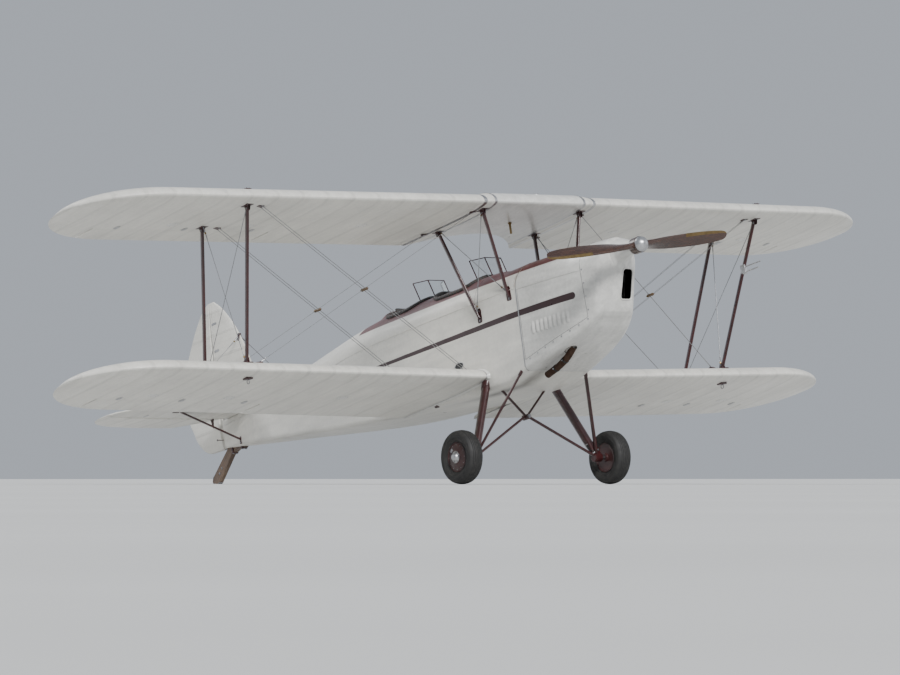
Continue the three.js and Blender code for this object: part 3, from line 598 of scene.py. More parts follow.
def fabric(name, rib=None, scheme=False):
    """Doped fabric: weave, and ribs taped and stitched at a spacing from an offset along an axis."""
    n = Nodes(name)
    color = paint_scheme(n, CREAM) if scheme else n.mix(n.noise(0.9), CREAM, scaled(CREAM, 0.95))
    if rib:
        spacing, offset, letter = rib
        tape = n.wave(spacing, letter, -offset, sharp=60.0)
        stitch = n.product(n.wave(spacing, letter, -offset, sharp=900.0),
                           n.wave(RIB_STITCH, "f", sharp=4.0))
        n.bump(n.math("ADD", n.step(tape, 0.2, 0.35), stitch), 0.0011)
        color = n.mix(n.product(n.step(tape, 0.15, 0.4), 0.22), color, scaled(CREAM, 0.55))
    weave = n.math("ADD", n.noise(WEAVE_SCALE, 1.0, (1, 0.12, 1)),
                   n.noise(WEAVE_SCALE, 1.0, (0.12, 1, 1)))
    n.bump(weave, 0.0003, 0.35)
    n.roughness(n.noise(14.0), 0.36, 0.52)
    return n.finish(grime(n, color, 0.10), Coat_Weight=0.12, Sheen_Weight=0.05)


def painted_metal(name, color, scheme=False, stain=0.12, rough=(0.22, 0.4)):
    n = Nodes(name)
    color = paint_scheme(n, color) if scheme else color
    n.bump(n.noise(55.0, 3.0), 0.0006, 0.35)
    n.bump(n.noise(420.0, 2.0), 0.0002, 0.3)
    n.roughness(n.noise(20.0), *rough)
    return n.finish(grime(n, color, stain), Coat_Weight=0.2, Coat_Roughness=0.12)


def bare_metal(name, color, rough=(0.25, 0.45), brushed=(1, 1, 14), stain=0.25):
    n = Nodes(name)
    n.bump(n.noise(240.0, 2.0, brushed), 0.0002, 0.4)
    n.roughness(n.noise(30.0, 3.0, brushed), *rough)
    return n.finish(n.vary(color, stain, n.noise(25.0), n.noise(160.0, 2.0, brushed)), Metallic=1.0)


def wood(name, dark, light, layer, letter, fibres, rough=(0.2, 0.34), slope=0.0):
    """Glued layers of wood across one axis; fibres gives how the grain is drawn out along others."""
    n = Nodes(name)
    n.lean(slope)
    grain = n.noise(24.0, 6.0, fibres, 0.4)
    pores = n.noise(190.0, 2.0, fibres)
    layers = n.step(n.wave(layer, letter, sharp=1.0), 0.35, 0.65)
    color = n.mix(n.step(grain, 0.3, 0.72), dark, light)
    color = n.vary(color, 0.3, pores)
    color = n.mix(n.product(layers, 0.45), color, dark)
    n.bump(grain, 0.0003, 0.2)
    n.roughness(grain, *rough)
    return n.finish(n.vary(color, 0.2, n.noise(5.0)), Coat_Weight=0.5, Coat_Roughness=0.1)


def rubber(name):
    n = Nodes(name)
    n.bump(n.noise(260.0, 3.0), 0.0006, 0.5)
    n.roughness(n.noise(18.0), 0.55, 0.8)
    dust = n.mix(n.step(n.noise(34.0, 6.0), 0.42, 0.8), (0.017, 0.0165, 0.016), (0.034, 0.032, 0.029))
    return n.finish(n.vary(dust, 0.25, n.noise(120.0)))


def leather(name, color):
    n = Nodes(name)
    cells = n.node("ShaderNodeTexVoronoi", feature="DISTANCE_TO_EDGE")
    cells.inputs["Scale"].default_value = 330.0
    n.link(n.place, cells.inputs["Vector"])
    n.bump(n.step(cells.outputs["Distance"], 0.0, 0.25), 0.0006, 0.6)
    n.bump(n.noise(40.0, 4.0), 0.0012, 0.5)
    n.roughness(n.noise(22.0, 5.0), 0.38, 0.62)
    return n.finish(n.vary(color, 0.35, n.noise(11.0, 5.0), n.noise(90.0)), Sheen_Weight=0.1)


def webbing(name, color):
    n = Nodes(name)
    n.bump(n.product(n.wave(0.003, "x"), n.wave(0.003, "z")), 0.0006)
    n.roughness(n.noise(60.0), 0.75, 0.9)
    return n.finish(n.vary(color, 0.25, n.noise(45.0)), Sheen_Weight=0.3)


def glazing(name):
    n = Nodes(name)
    n.bump(n.noise(6.0, 2.0), 0.0004, 0.2)
    n.roughness(n.noise(30.0, 5.0), 0.02, 0.10)
    return n.finish(n.vary((0.93, 0.96, 0.97), 0.04, n.noise(12.0)), Transmission_Weight=1.0, IOR=1.45)


MATERIALS = {
    "wing": fabric("wing_fabric", rib=(RIB_SPACING, RIB_OFFSET, "x")),
    "tail": fabric("tailplane_fabric", rib=(TAIL_RIB, 0.0, "x")),
    "fin": fabric("fin_fabric", rib=(TAIL_RIB, 0.0, "z")),
    "hull": fabric("fuselage_fabric", scheme=True),
    "cowl": painted_metal("cowl_paint", METAL_CREAM, scheme=True, stain=0.16),
    "tank": painted_metal("tank_paint", METAL_CREAM, stain=0.14),
    "ply": wood("cockpit_ply", (0.16, 0.09, 0.045), (0.34, 0.21, 0.11), 0.03, "z",
                FIBRES_AFT, (0.4, 0.6)),
    "strut": painted_metal("strut_paint", (0.055, 0.012, 0.013), stain=0.3),
    "maroon": painted_metal("trim_paint", MAROON, stain=0.25),
    "wheel": painted_metal("wheel_paint", (0.06, 0.016, 0.016), stain=0.4, rough=(0.3, 0.5)),
    "steel": bare_metal("wire_steel", (0.30, 0.30, 0.31), brushed=EVEN, stain=0.08),
    "alloy": bare_metal("bare_alloy", (0.62, 0.62, 0.63)),
    "brass": bare_metal("brass", (0.25, 0.175, 0.08), (0.3, 0.5)),
    "dark": painted_metal("black_paint", (0.018, 0.018, 0.019), stain=0.3, rough=(0.35, 0.55)),
    "iron": bare_metal("cast_iron", (0.07, 0.068, 0.066), (0.5, 0.75), EVEN),
    "rust": bare_metal("exhaust_iron", (0.10, 0.062, 0.045), (0.55, 0.85), EVEN),
    "rubber": rubber("tyre_rubber"),
    "blade": wood("propeller_wood", (0.03, 0.011, 0.006), (0.085, 0.032, 0.015), 0.018, "f",
                  FIBRES_ACROSS),
    "ash": wood("frame_ash", (0.09, 0.05, 0.03), (0.24, 0.15, 0.085), 0.012, "z",
                FIBRES_AFT, (0.5, 0.7)),
    "skid": wood("skid_ash", (0.075, 0.042, 0.026), (0.24, 0.15, 0.085), 0.016, "z",
                 FIBRES_AFT, (0.5, 0.7), SKID_SLOPE),
    "leather": leather("brown_leather", (0.12, 0.048, 0.024)),
    "black_leather": leather("black_leather", (0.022, 0.018, 0.016)),
    "webbing": webbing("harness_webbing", (0.33, 0.29, 0.2)),
    "glass": glazing("windscreen_glass"),
    "mark": painted_metal("dial_white", (0.72, 0.71, 0.64), stain=0.15, rough=(0.4, 0.6)),
}


# Wings. Both have the same chord, section, sweep and rib spacing.

CHORD = 1.25
FRONT_SPAR = 0.16
SPAR_MIDDLE = 0.0344
SWEEP = math.tan(math.radians(8))
INCIDENCE = math.radians(4)
TIP_LENGTH = 0.75
TIP_CENTRE = 0.45
TIP_STEPS = 18
WINGS = {
    "upper": {"root": 0.5604, "tip": 4.19, "nose": 0.515, "spar": 2.138, "sweep": SWEEP,
              "rise": math.tan(math.radians(1.82)), "aileron": (2.05, 3.68)},
    "lower": {"root": 0.3604, "tip": 3.973, "nose": -0.033, "spar": 0.742, "sweep": SWEEP,
              "rise": math.tan(math.radians(2.95)), "aileron": (1.95, 3.47)},
}
UPPER, LOWER = WINGS["upper"], WINGS["lower"]
CENTRE = {**UPPER, "rise": 0.0, "sweep": 0.0}
CENTRE_HALF = 0.56
TANK = {"half": 0.47, "bulge": 0.17}
CENTRE_CUT = {"forward": -0.7323, "depth": 0.377, "from": 0.45}


def with_roots(table):
    """Rows whose station is replaced by its square root, so that the nose comes out round."""
    return [(math.sqrt(row[0]), *row[1:]) for row in table]


# Section as fractions of the chord: station, upper surface, lower surface.
SECTION = with_roots((
    (0.0, 0.0, 0.0), (0.015, 0.029, -0.013), (0.05, 0.054, -0.020), (0.13, 0.081, -0.026),
    (0.28, 0.094, -0.027), (0.45, 0.088, -0.023), (0.62, 0.069, -0.017), (0.80, 0.040, -0.010),
    (1.0, 0.0022, -0.0012)))
STEPS_PER_RIB = 6
FABRIC_SAG = 0.0035
HINGE = 0.76
HINGE_NOSE = 0.036
HINGE_COVE = 0.042
LIP_AHEAD = 0.019
END_GAP = 0.006
AILERON_GAP = 0.012
FRONT_SHARES = np.linspace(0, 1, 24) ** 1.7
AFT_SHARES = np.linspace(0, 1, 10)[1:]
ROOT_SHARES = np.concatenate([FRONT_SHARES * 0.9, [0.95, 0.99]])


def section_heights(station):
    """Upper and lower heights of the section, as fractions of the chord."""
    heights = curve(SECTION, np.sqrt(np.clip(station, 0, 1)))
    return heights[..., 0], heights[..., 1]


HINGE_MIDDLE = sum(section_heights(HINGE)) / 2 * CHORD


def wing_points(wing, x, along, height):
    """Level points of a port wing: along is the distance behind the nose on the chord line."""
    x, along, height = np.broadcast_arrays(x, along, height)
    out = x - wing["root"]
    nose = wing["nose"] - wing["sweep"] * out
    nose_up = (wing["spar"] + wing["rise"] * out - SPAR_MIDDLE * CHORD
               + FRONT_SPAR * math.sin(INCIDENCE))
    forward = nose - along * math.cos(INCIDENCE) + height * math.sin(INCIDENCE)
    up = nose_up - along * math.sin(INCIDENCE) + height * math.cos(INCIDENCE)
    return np.stack([x, forward, up], -1)


def taper_at(wing, x):
    """The local chord over the whole chord: an ellipse's quarter at the tip."""
    past = max(0.0, (x - wing["tip"] + TIP_LENGTH) / TIP_LENGTH)
    return max(math.sqrt(max(1 - past * past, 0)), 0.015)


def sag(x, station, depth):
    """How far the fabric sinks between two ribs."""
    share = (x - RIB_OFFSET) / RIB_SPACING % 1.0
    bay = 1 - (2 * share - 1) ** 2
    return depth * bay * ramp(0.1, 0.2, station) * (1 - ramp(0.9, 0.99, station))


def surfaces(wing, x, along):
    """Heights of the upper and lower surface at distances behind the straight leading edge."""
    taper = taper_at(wing, x)
    station = (along / CHORD - TIP_CENTRE * (1 - taper)) / taper
    top, under = section_heights(station)
    sink = sag(x, station, FABRIC_SAG * taper)
    return top * taper * CHORD - sink, under * taper * CHORD + sink


def chord_places(wing, x, shares):
    """Distances behind the straight leading edge at shares of the local chord."""
    taper = taper_at(wing, x)
    nose = TIP_CENTRE * CHORD * (1 - taper)
    return nose + CHORD * taper * np.asarray(shares)


def lip_place(wing, x):
    """Where the fixed surface ends ahead of the aileron, carried on outside the bay as a share."""
    nose, tail = chord_places(wing, min(x, wing["aileron"][1]), (0, 1))
    share = (HINGE * CHORD - LIP_AHEAD - nose) / (tail - nose)
    return float(chord_places(wing, x, share))


def on_surface(wing, x, along, upper):
    return wing_points(wing, x, along, surfaces(wing, x, along)[0 if upper else 1])


def hinge_arc(wing, x, radius, start, end, count):
    """Points round the hinge line from one angle to another, held between the two surfaces."""
    angle = np.radians(np.linspace(start, end, count))
    along = HINGE * CHORD + radius * np.cos(angle)
    high, low = surfaces(wing, x, along)
    return wing_points(wing, x, along, np.clip(HINGE_MIDDLE + radius * np.sin(angle), low, high))


def nose_radius(wing, x):
    """Radius of the aileron's nose, which stays clear of the fixed surface's two lips."""
    taper = taper_at(wing, x)
    station = HINGE - LIP_AHEAD / CHORD - TIP_CENTRE * (1 - taper)
    lips = np.array(section_heights(station / taper)) * taper * CHORD
    return min(HINGE_NOSE, np.hypot(LIP_AHEAD, lips - HINGE_MIDDLE).min() - END_GAP)


def round_back(wing, x, aft):
    """Aft along the lower surface and forward again along the upper one."""
    return [on_surface(wing, x, aft, False), on_surface(wing, x, aft[::-1], True)]


def fixed_ring(wing, x, cove=False):
    """A section from the upper lip round the nose to the lower lip, then round the back."""
    nose, tail = chord_places(wing, x, (0, 1))
    lip = lip_place(wing, x)
    front = nose + (lip - nose) * FRONT_SHARES
    if cove:
        corner = 180 - math.degrees(math.acos(LIP_AHEAD / HINGE_COVE))
        back = [hinge_arc(wing, x, HINGE_COVE, 360 - corner, corner, 2 * len(AFT_SHARES))]
    else:
        back = round_back(wing, x, lip + (tail - lip) * AFT_SHARES)
    return np.concatenate([on_surface(wing, x, front[::-1], True),
                           on_surface(wing, x, front[1:], False), *back])


def aileron_ring(wing, x):
    aft = np.linspace(HINGE * CHORD, chord_places(wing, x, 1), 12)[1:]
    return np.concatenate([hinge_arc(wing, x, nose_radius(wing, x), 90, 270, 14),
                           *round_back(wing, x, aft)])


def span_places(start, end):
    return np.linspace(start, end, max(3, round((end - start) / RIB_SPACING * STEPS_PER_RIB) + 1))


def wing_shape(wing):
    """The fixed part of a port wing: full sections, coved ones at the aileron, the round tip."""
    bay_start, bay_end = wing["aileron"]
    straight_end = wing["tip"] - TIP_LENGTH
    outer = max(bay_end, straight_end)
    rings = [fixed_ring(wing, x) for x in span_places(wing["root"], bay_start)]
    rings += [fixed_ring(wing, x, cove=True) for x in span_places(bay_start, bay_end)]
    angles = np.linspace(math.asin((outer - straight_end) / TIP_LENGTH), math.pi / 2, TIP_STEPS)
    rings += [fixed_ring(wing, x) for x in straight_end + TIP_LENGTH * np.sin(angles)]
    return loft(rings)


def aileron_shape(wing):
    start, end = wing["aileron"]
    return loft([aileron_ring(wing, x) for x in span_places(start + AILERON_GAP, end - AILERON_GAP)])


def both_ways(upper, lower):
    """Values from the back along the upper surface to the nose and along the lower one back."""
    return np.concatenate([upper[::-1], lower[1:]])


def centre_ring(x):
    """A section of the centre part, whose aft end follows the curve cut over the cockpit."""
    cut = CENTRE_CUT["forward"] + CENTRE_CUT["depth"] * (1 - (x / CENTRE_HALF) ** 2)
    tail = (CENTRE["nose"] - cut) / math.cos(INCIDENCE) / CHORD
    stations = np.concatenate([FRONT_SHARES * HINGE, HINGE + (1 - HINGE) * AFT_SHARES])
    start = CENTRE_CUT["from"]
    squeeze = (tail - start) / (1 - start)
    places = np.where(stations < start, stations, start + (stations - start) * squeeze)
    top, under = section_heights(stations)
    swell = TANK["bulge"] * (1 - ramp(TANK["half"] + 0.01, CENTRE_HALF, abs(x)))
    top = top * (1 + swell) * (1 - 0.1 * ramp(0.5, 0.9, stations))
    return wing_points(CENTRE, x, both_ways(places, places) * CHORD, both_ways(top, under) * CHORD)


def build_wings():
    for place, wing in WINGS.items():
        for word, side in SIDES:
            skin = Kit((wing_shape(wing), "wing")).mirror(side)
            skin.piece(f"wing_skin_{place}_{word}", "doped_fabric", replaces=[f"wing_{place}_{word}"])
            name = f"aileron_{place}_{word}"
            skin = Kit((aileron_shape(wing), "wing")).mirror(side)
            skin.piece(f"aileron_skin_{place}_{word}", "doped_fabric", name, [name])


def build_centre_section():
    kit = Kit()
    half = TANK["half"]
    for start, end, count, key in ((-CENTRE_HALF, -half, 3, "wing"), (-half, half, 25, "tank"),
                                   (half, CENTRE_HALF, 3, "wing")):
        kit.add(loft([centre_ring(x) for x in np.linspace(start, end, count)], caps=False), key)
    for x in (-CENTRE_HALF, CENTRE_HALF):
        ring = centre_ring(x)
        kit.add((ring, [list(range(len(ring)))]), "wing")
    kit.piece("centre_section_skin", "doped_fabric", replaces=["centre_section"])


# Fuselage. Stations: forward, half width, floor, top of the flat side, crown of the decking.

FUSELAGE = [
    (0.4541, 0.350, 0.648, 1.360, 1.612), (0.160, 0.360, 0.588, 1.360, 1.606),
    (-0.060, 0.360, 0.592, 1.360, 1.634), (-1.000, 0.360, 0.645, 1.356, 1.645),
    (-1.500, 0.360, 0.676, 1.350, 1.642), (-1.950, 0.346, 0.716, 1.336, 1.614),
    (-2.500, 0.290, 0.782, 1.302, 1.550), (-3.300, 0.195, 0.893, 1.270, 1.444),
    (-3.900, 0.115, 0.972, 1.255, 1.382), (-4.485, 0.038, 1.052, 1.250, 1.345),
]
COCKPIT_END = -1.95
TAIL_START = -1.9504
CHINE = 0.04
SKIN = 0.022
BELLY_SIDES, CHINE_SIDES, FLANK_SIDES, DECK_SIDES = 5, 5, 16, 32
STRINGERS = {"count": 4, "depth": 0.0028}
FORMER_SPACING = 0.3
LONGERONS = (0.62, 0.86, 1.10, 1.36)
PANEL_SAG = 0.0042
# The fairing behind the rear cockpit: forward, half width, top.
HEADREST = [(-1.600, 0.150, 1.600), (-1.660, 0.150, 1.668), (-1.700, 0.152, 1.676),
            (-1.790, 0.130, 1.664), (-1.880, 0.085, 1.632), (-1.940, 0.060, 1.595)]
HEADREST_DEPTH = 0.088
DECK_LOW = 1.4
# Cockpit openings: middle, half length, half width.
COCKPITS = {"front": (-0.56, 0.32, 0.268), "rear": (-1.35, 0.27, 0.25)}
OPENING_CORNER = 0.17
OPENING_CUT = (1.4, 1.8)
# The tail cone is cut off level for the tailplane's seat.
SHELF = {"forward": -3.86, "under": 1.3046}
LEAN_DATUM = 1.2


def headrest_height(x, forward):
    """Top of the fairing behind the rear cockpit, or nothing where it has none."""
    half, top = np.moveaxis(curve(HEADREST, forward), -1, 0)
    inside = np.clip(1 - (x / half) ** 2, 0, 1)
    height = top - HEADREST_DEPTH * (1 - np.sqrt(inside))
    here = (np.abs(x) < half) & (forward < HEADREST[0][0]) & (forward > HEADREST[-1][0])
    return np.where(here, height, 0.0)


def smooth_max(a, b, soft=0.012):
    blend = np.clip(0.5 + 0.5 * (a - b) / soft, 0, 1)
    return b + (a - b) * blend + soft * blend * (1 - blend)


def deck_height(x, forward):
    """Height of the fuselage's decking over a place in plan."""
    half, _, rail, crown = np.moveaxis(curve(FUSELAGE, forward), -1, 0)
    plain = rail + (crown - rail) * np.sqrt(np.clip(1 - (x / half) ** 2, 0, 1))
    return smooth_max(headrest_height(x, forward), plain)


def hull_ring(row, forward, lean=0.0):
    """A section from the keel up the port side to the crown and down the other side."""
    half, floor, rail, crown = row
    chine = min(CHINE, 0.6 * half)
    belly = [(x, floor) for x in np.linspace(0, half - chine, BELLY_SIDES)]
    turn = np.linspace(-math.pi / 2, 0, CHINE_SIDES + 1)[1:]
    bend = [(half - chine + chine * math.cos(a), floor + chine + chine * math.sin(a)) for a in turn]
    flank = [(half, z) for z in np.linspace(floor + chine, rail, FLANK_SIDES + 1)[1:]]
    arch = np.linspace(0, math.pi / 2, DECK_SIDES + 1)[1:]
    deck = [(half * math.cos(a), rail + (crown - rail) * math.sin(a)) for a in arch]
    port = np.array(belly + bend + flank + deck)
    x, up = np.concatenate([port, (port * (-1, 1))[-2:0:-1]]).T
    return np.stack([x, forward + lean * (up - LEAN_DATUM), up], -1)


def relief(points):
    """Draws the fabric in between formers and longerons, and between the aft decking's stringers."""
    x, forward, up = np.moveaxis(points, -1, 0)
    half, _, rail, _ = np.moveaxis(curve(FUSELAGE, forward), -1, 0)
    bay = 1 - np.abs(2 * (forward / FORMER_SPACING % 1) - 1) ** 3
    shelf = np.zeros_like(up)
    for low, high in zip(LONGERONS, LONGERONS[1:]):
        place = np.clip((up - low) / (high - low), 0, 1)
        shelf = np.maximum(shelf, 1 - np.abs(2 * place - 1) ** 3)
    flank = ramp(0.9, 0.99, np.abs(x) / half) * (up < rail)
    sunk = points.copy()
    sunk[..., 0] -= np.sign(x) * PANEL_SAG * bay * shelf * flank
    angle = np.arccos(np.clip(np.abs(x) / half, 0, 1))
    share = angle / (math.pi / 2) * STRINGERS["count"] % 1
    scallop = STRINGERS["depth"] * (1 - (2 * share - 1) ** 2) * (up > rail + 0.002)
    scallop = scallop * ramp(COCKPIT_END, COCKPIT_END - 0.1, forward)
    sunk[..., 0] -= np.sign(x) * scallop * np.cos(angle)
    sunk[..., 2] -= scallop * np.sin(angle)
    return sunk


def fuselage_rings(start, end, step):
    rings = []
    for forward in np.linspace(start, end, round(abs(end - start) / step) + 1):
        ring = hull_ring(curve(FUSELAGE, forward), forward)
        over = smooth_max(headrest_height(ring[:, 0], ring[:, 1]), ring[:, 2])
        ring[:, 2] = np.where(ring[:, 2] > DECK_LOW, over, ring[:, 2])
        rings.append(relief(ring))
    return rings


def rounded_box(low, high, corner, steps, grow=0.0):
    """Outline of a flat rounded rectangle between two corners, grown by a margin."""
    (left, bottom), (right, top) = np.array(low) + corner, np.array(high) - corner
    middles = ((right, top), (left, top), (left, bottom), (right, bottom))
    return np.array([(a + (corner + grow) * math.cos(angle), b + (corner + grow) * math.sin(angle))
                     for i, (a, b) in enumerate(middles)
                     for angle in np.linspace(i, i + 1, steps) * math.pi / 2])


def opening_outline(name, steps, grow=0.0):
    """A cockpit opening in plan, as x and forward."""
    centre, length, width = COCKPITS[name]
    return rounded_box((-width, centre - length), (width, centre + length), OPENING_CORNER, steps, grow)


def below_shelf(ring):
    return np.column_stack([ring[:, :2], np.minimum(ring[:, 2], SHELF["under"])])


def build_fuselage():
    rings = fuselage_rings(FUSELAGE[0][0], COCKPIT_END, 0.025)
    kit = Kit(*walled(rings, SKIN, "hull", "ply"))
    shell = kit.piece("fuselage_shell", "doped_fabric", replaces=["fuselage_cockpits"])
    cut_out(shell, [prism(opening_outline(name, 10), 2, *OPENING_CUT) for name in COCKPITS])
    tail = []
    for ring in fuselage_rings(TAIL_START, FUSELAGE[-1][0], 0.03):
        seat = ring[0, 1] < SHELF["forward"]
        if seat and tail[-1][0, 1] >= SHELF["forward"]:
            tail.append(below_shelf(tail[-1]))
        tail.append(below_shelf(ring) if seat else ring)
    Kit((loft(tail), "hull")).piece("tail_cone", "doped_fabric", replaces=["fuselage_tail"])


# Cowl: stations with the lean of each section, and the snout over the crankshaft.

NOSE_LEAN = 0.29
COWL_FRONT = 1.402
COWL_BACK = 0.4679
COWL = [
    (COWL_FRONT, 0.172, 0.966, 1.330, 1.532, NOSE_LEAN), (1.372, 0.206, 0.930, 1.335, 1.566, NOSE_LEAN),
    (1.250, 0.240, 0.850, 1.340, 1.577, 0.20), (1.080, 0.278, 0.796, 1.345, 1.588, 0.10),
    (0.800, 0.318, 0.728, 1.352, 1.600, 0.0), (COWL_BACK, 0.350, 0.648, 1.360, 1.612, 0.0),
]
# Forward, half width, low, high.
SNOUT = [(1.290, 0.150, 1.320, 1.574), (1.410, 0.137, 1.340, 1.566), (1.520, 0.112, 1.360, 1.546),
         (1.620, 0.084, 1.375, 1.512), (1.690, 0.060, 1.384, 1.486)]
SNOUT_END = SNOUT[-1][0]
SNOUT_MIDDLE = 1.45
SHAFT_HEIGHT = 1.434
SHAFT_HOLE = 0.036
COWL_WALL = 0.008
INTAKE = rounded_box((0.034, 1.06), (0.150, 1.30), 0.03, 6)
INTAKE_CUT = (1.25, 1.52)


def snout_ring(angle, forward):
    half, low, high = np.moveaxis(curve(SNOUT, forward), -1, 0)
    x, z = np.cos(angle) / half, np.sin(angle) / ((high - low) / 2)
    reach = 1 / np.sqrt(x * x + z * z)
    middle = (low + high) / 2
    return np.stack([reach * np.cos(angle), forward, middle + reach * np.sin(angle)], -1)


def cowl_rings():
    """Hull sections, the rounded front, the face drawn in to the snout, the snout and its mouth."""
    places = np.concatenate([np.linspace(COWL_BACK, 1.36, 30), np.linspace(1.36, COWL_FRONT, 9)[1:]])
    rings = [hull_ring(row[:4], forward, lean=row[4])
             for forward, row in zip(places, curve(COWL, places))]
    edge = rings[-1]
    angle = np.arctan2(edge[:, 2] - SNOUT_MIDDLE, edge[:, 0])
    root = snout_ring(angle, edge[:, 1] + 0.03)
    for share in np.linspace(0, 1, 12)[1:-1]:
        ring = edge + (root - edge) * share
        face = COWL_FRONT + NOSE_LEAN * (ring[:, 2] - LEAN_DATUM)
        ring[:, 1] = face + 0.035 * np.sin(share * math.pi / 2)
        rings.append(ring)
    last = rings[-1]
    for share in np.linspace(0, 1, 16)[1:]:
        forward = last[:, 1] + (SNOUT_END - last[:, 1]) * share
        near = ramp(0, 0.16, share)
        ring = last * (1 - near) + snout_ring(angle, forward) * near
        ring[:, 1] = forward
        rings.append(ring)
    rim = rings[-1]
    centre = np.array([0, SNOUT_END, SHAFT_HEIGHT])
    mouth = centre + unit((rim - centre) * (1, 0, 1)) * SHAFT_HOLE
    return rings + [(rim + mouth) / 2 + 0.008 * F, mouth + 0.008 * F, mouth - 0.06 * F]


def build_cowl():
    kit = Kit(*walled(cowl_rings(), COWL_WALL, "cowl", "dark"))
    cowl = kit.piece("cowl_shell", "cowl_paint", replaces=["cowl"])
    cut_out(cowl, [prism(INTAKE, 1, *INTAKE_CUT)])


# Tail surfaces, split at a hinge line: span station, leading edge, trailing edge and thickness.

FIN = [
    (1.052, -4.470, -4.700, 0.030), (1.0545, -4.469, -4.735, 0.031), (1.063, -4.465, -4.782, 0.033),
    (1.082, -4.456, -4.833, 0.037), (1.120, -4.440, -4.890, 0.044), (1.210, -4.300, -4.968, 0.052),
    (1.310, -3.900, -5.015, 0.056), (1.414, -3.869, -5.060, 0.056), (1.656, -3.945, -5.081, 0.054),
    (1.874, -4.030, -5.012, 0.050), (2.090, -4.145, -4.880, 0.044), (2.269, -4.287, -4.735, 0.034),
    (2.350, -4.375, -4.645, 0.024), (2.402, -4.450, -4.555, 0.010),
]
FIN_FOOT = 1.3714
RUDDER_HINGE = -4.52
RUDDER_NOSE = 0.025
HEEL = 0.16
TAILPLANE = [
    (0.000, -3.880, -4.965, 0.066), (0.570, -3.952, -4.962, 0.060), (0.940, -4.058, -4.924, 0.050),
    (1.165, -4.184, -4.828, 0.038), (1.272, -4.322, -4.708, 0.026), (1.312, -4.436, -4.596, 0.012),
]
TAILPLANE_HEIGHT = 1.338
ELEVATOR_HINGE = -4.42
ELEVATOR_NOSE = 0.03
# The notch in the elevator's middle for the rudder, and the tube that joins the halves.
NOTCH = {"half": 0.048, "slope": 0.38, "ahead": 0.06}
TORQUE_TUBE = {"half": 0.12, "radius": 0.012}
TAIL_SAG = 0.0022
# Half thickness of slim sections: station, share of the full thickness.
SLIM = ((0.0, 0.0), (0.04, 0.27), (0.16, 0.44), (0.36, 0.5), (0.62, 0.38), (0.84, 0.18))
LENS = with_roots((*SLIM, (1.0, 0.03)))
STREAMLINE = with_roots((*SLIM, (1.0, 0.02)))


def lens_half(row, place, span):
    """Half thickness of a tail section at places along its chord, drawn in between the ribs."""
    leading, trailing, thickness = row
    station = np.clip((leading - place) / (leading - trailing), 0, 1)
    share = span / TAIL_RIB % 1.0
    sink = TAIL_SAG * (1 - (2 * share - 1) ** 2) * ramp(0.08, 0.2, station)
    half = curve(LENS, np.sqrt(station))[..., 0] * thickness
    return np.maximum(half - sink * (1 - ramp(0.85, 0.97, station)), 0.3 * half)


def half_at(table, span, place):
    return float(lens_half(curve(table, span), place, span))


def lens_ring(row, span, places, hinge, radius, ahead):
    """Places and half thicknesses round one part of a section; ahead is the fixed part."""
    corner = 90.0
    if ahead:
        corner = math.degrees(math.acos(min(1.0, (places[0] - hinge) / radius)))
    angle = np.radians(np.linspace(180 - corner, 180 + corner, 13))
    arc = np.minimum(hinge - radius * np.cos(angle), row[0])
    limit = lens_half(row, arc, span)
    arc_half = np.clip(radius * np.sin(angle), -limit, limit)
    half = lens_half(row, places, span)
    side, side_half = (np.concatenate([values, sign * values[-2::-1]])
                       for values, sign in ((places, 1), (half, -1)))
    if ahead:
        return np.concatenate([side, arc[::-1]]), np.concatenate([side_half, arc_half[::-1]])
    return np.concatenate([arc, side[::-1]]), np.concatenate([arc_half, side_half])


def upright(span, places, halves):
    return np.stack([halves, places, np.full_like(places, span)], -1)


def level(span, places, halves):
    return np.stack([np.full_like(places, span), places, TAILPLANE_HEIGHT + halves], -1)


# Table, hinge line, radius of the moving part's nose, and how sections lie.
VERTICAL = (FIN, RUDDER_HINGE, RUDDER_NOSE, upright)
HORIZONTAL = (TAILPLANE, ELEVATOR_HINGE, ELEVATOR_NOSE, level)


def fixed_shape(surface, spans):
    """The part ahead of the hinge line, with a cove for the moving part's nose."""
    table, hinge, nose, plane = surface
    cove = nose + END_GAP
    rings = []
    for span in spans:
        row = curve(table, abs(span))
        lip = hinge + 0.5 * cove
        for _ in range(6):
            lip = hinge + math.sqrt(max(cove ** 2 - half_at(table, abs(span), lip) ** 2, 0))
        places = lip + (row[0] - lip) * (1 - (1 - np.linspace(0, 1, 16)) ** 1.8)
        rings.append(plane(span, *lens_ring(row, abs(span), places, hinge, cove, True)))
    return loft(rings)


def moving_shape(surface, spans, ends=None):
    """The part aft of the hinge line; ends are places that it doesn't pass, one per span."""
    table, hinge, nose, plane = surface
    rings = []
    for i, span in enumerate(spans):
        row = curve(table, span)
        end = row[1] if ends is None else max(ends[i], row[1])
        places = np.linspace(min(hinge, row[0]), end, 12)[1:]
        rings.append(plane(span, *lens_ring(row, span, places, hinge, nose, False)))
    return loft(rings)


def dense(low, high, step, round_end):
    """Places from low to high, crowded towards the high end, which is rounded."""
    straight = np.linspace(low, high - round_end, round((high - low) / step) + 1)
    return np.concatenate([straight, high - round_end * (1 - np.linspace(0, 1, 14)[1:]) ** 2])


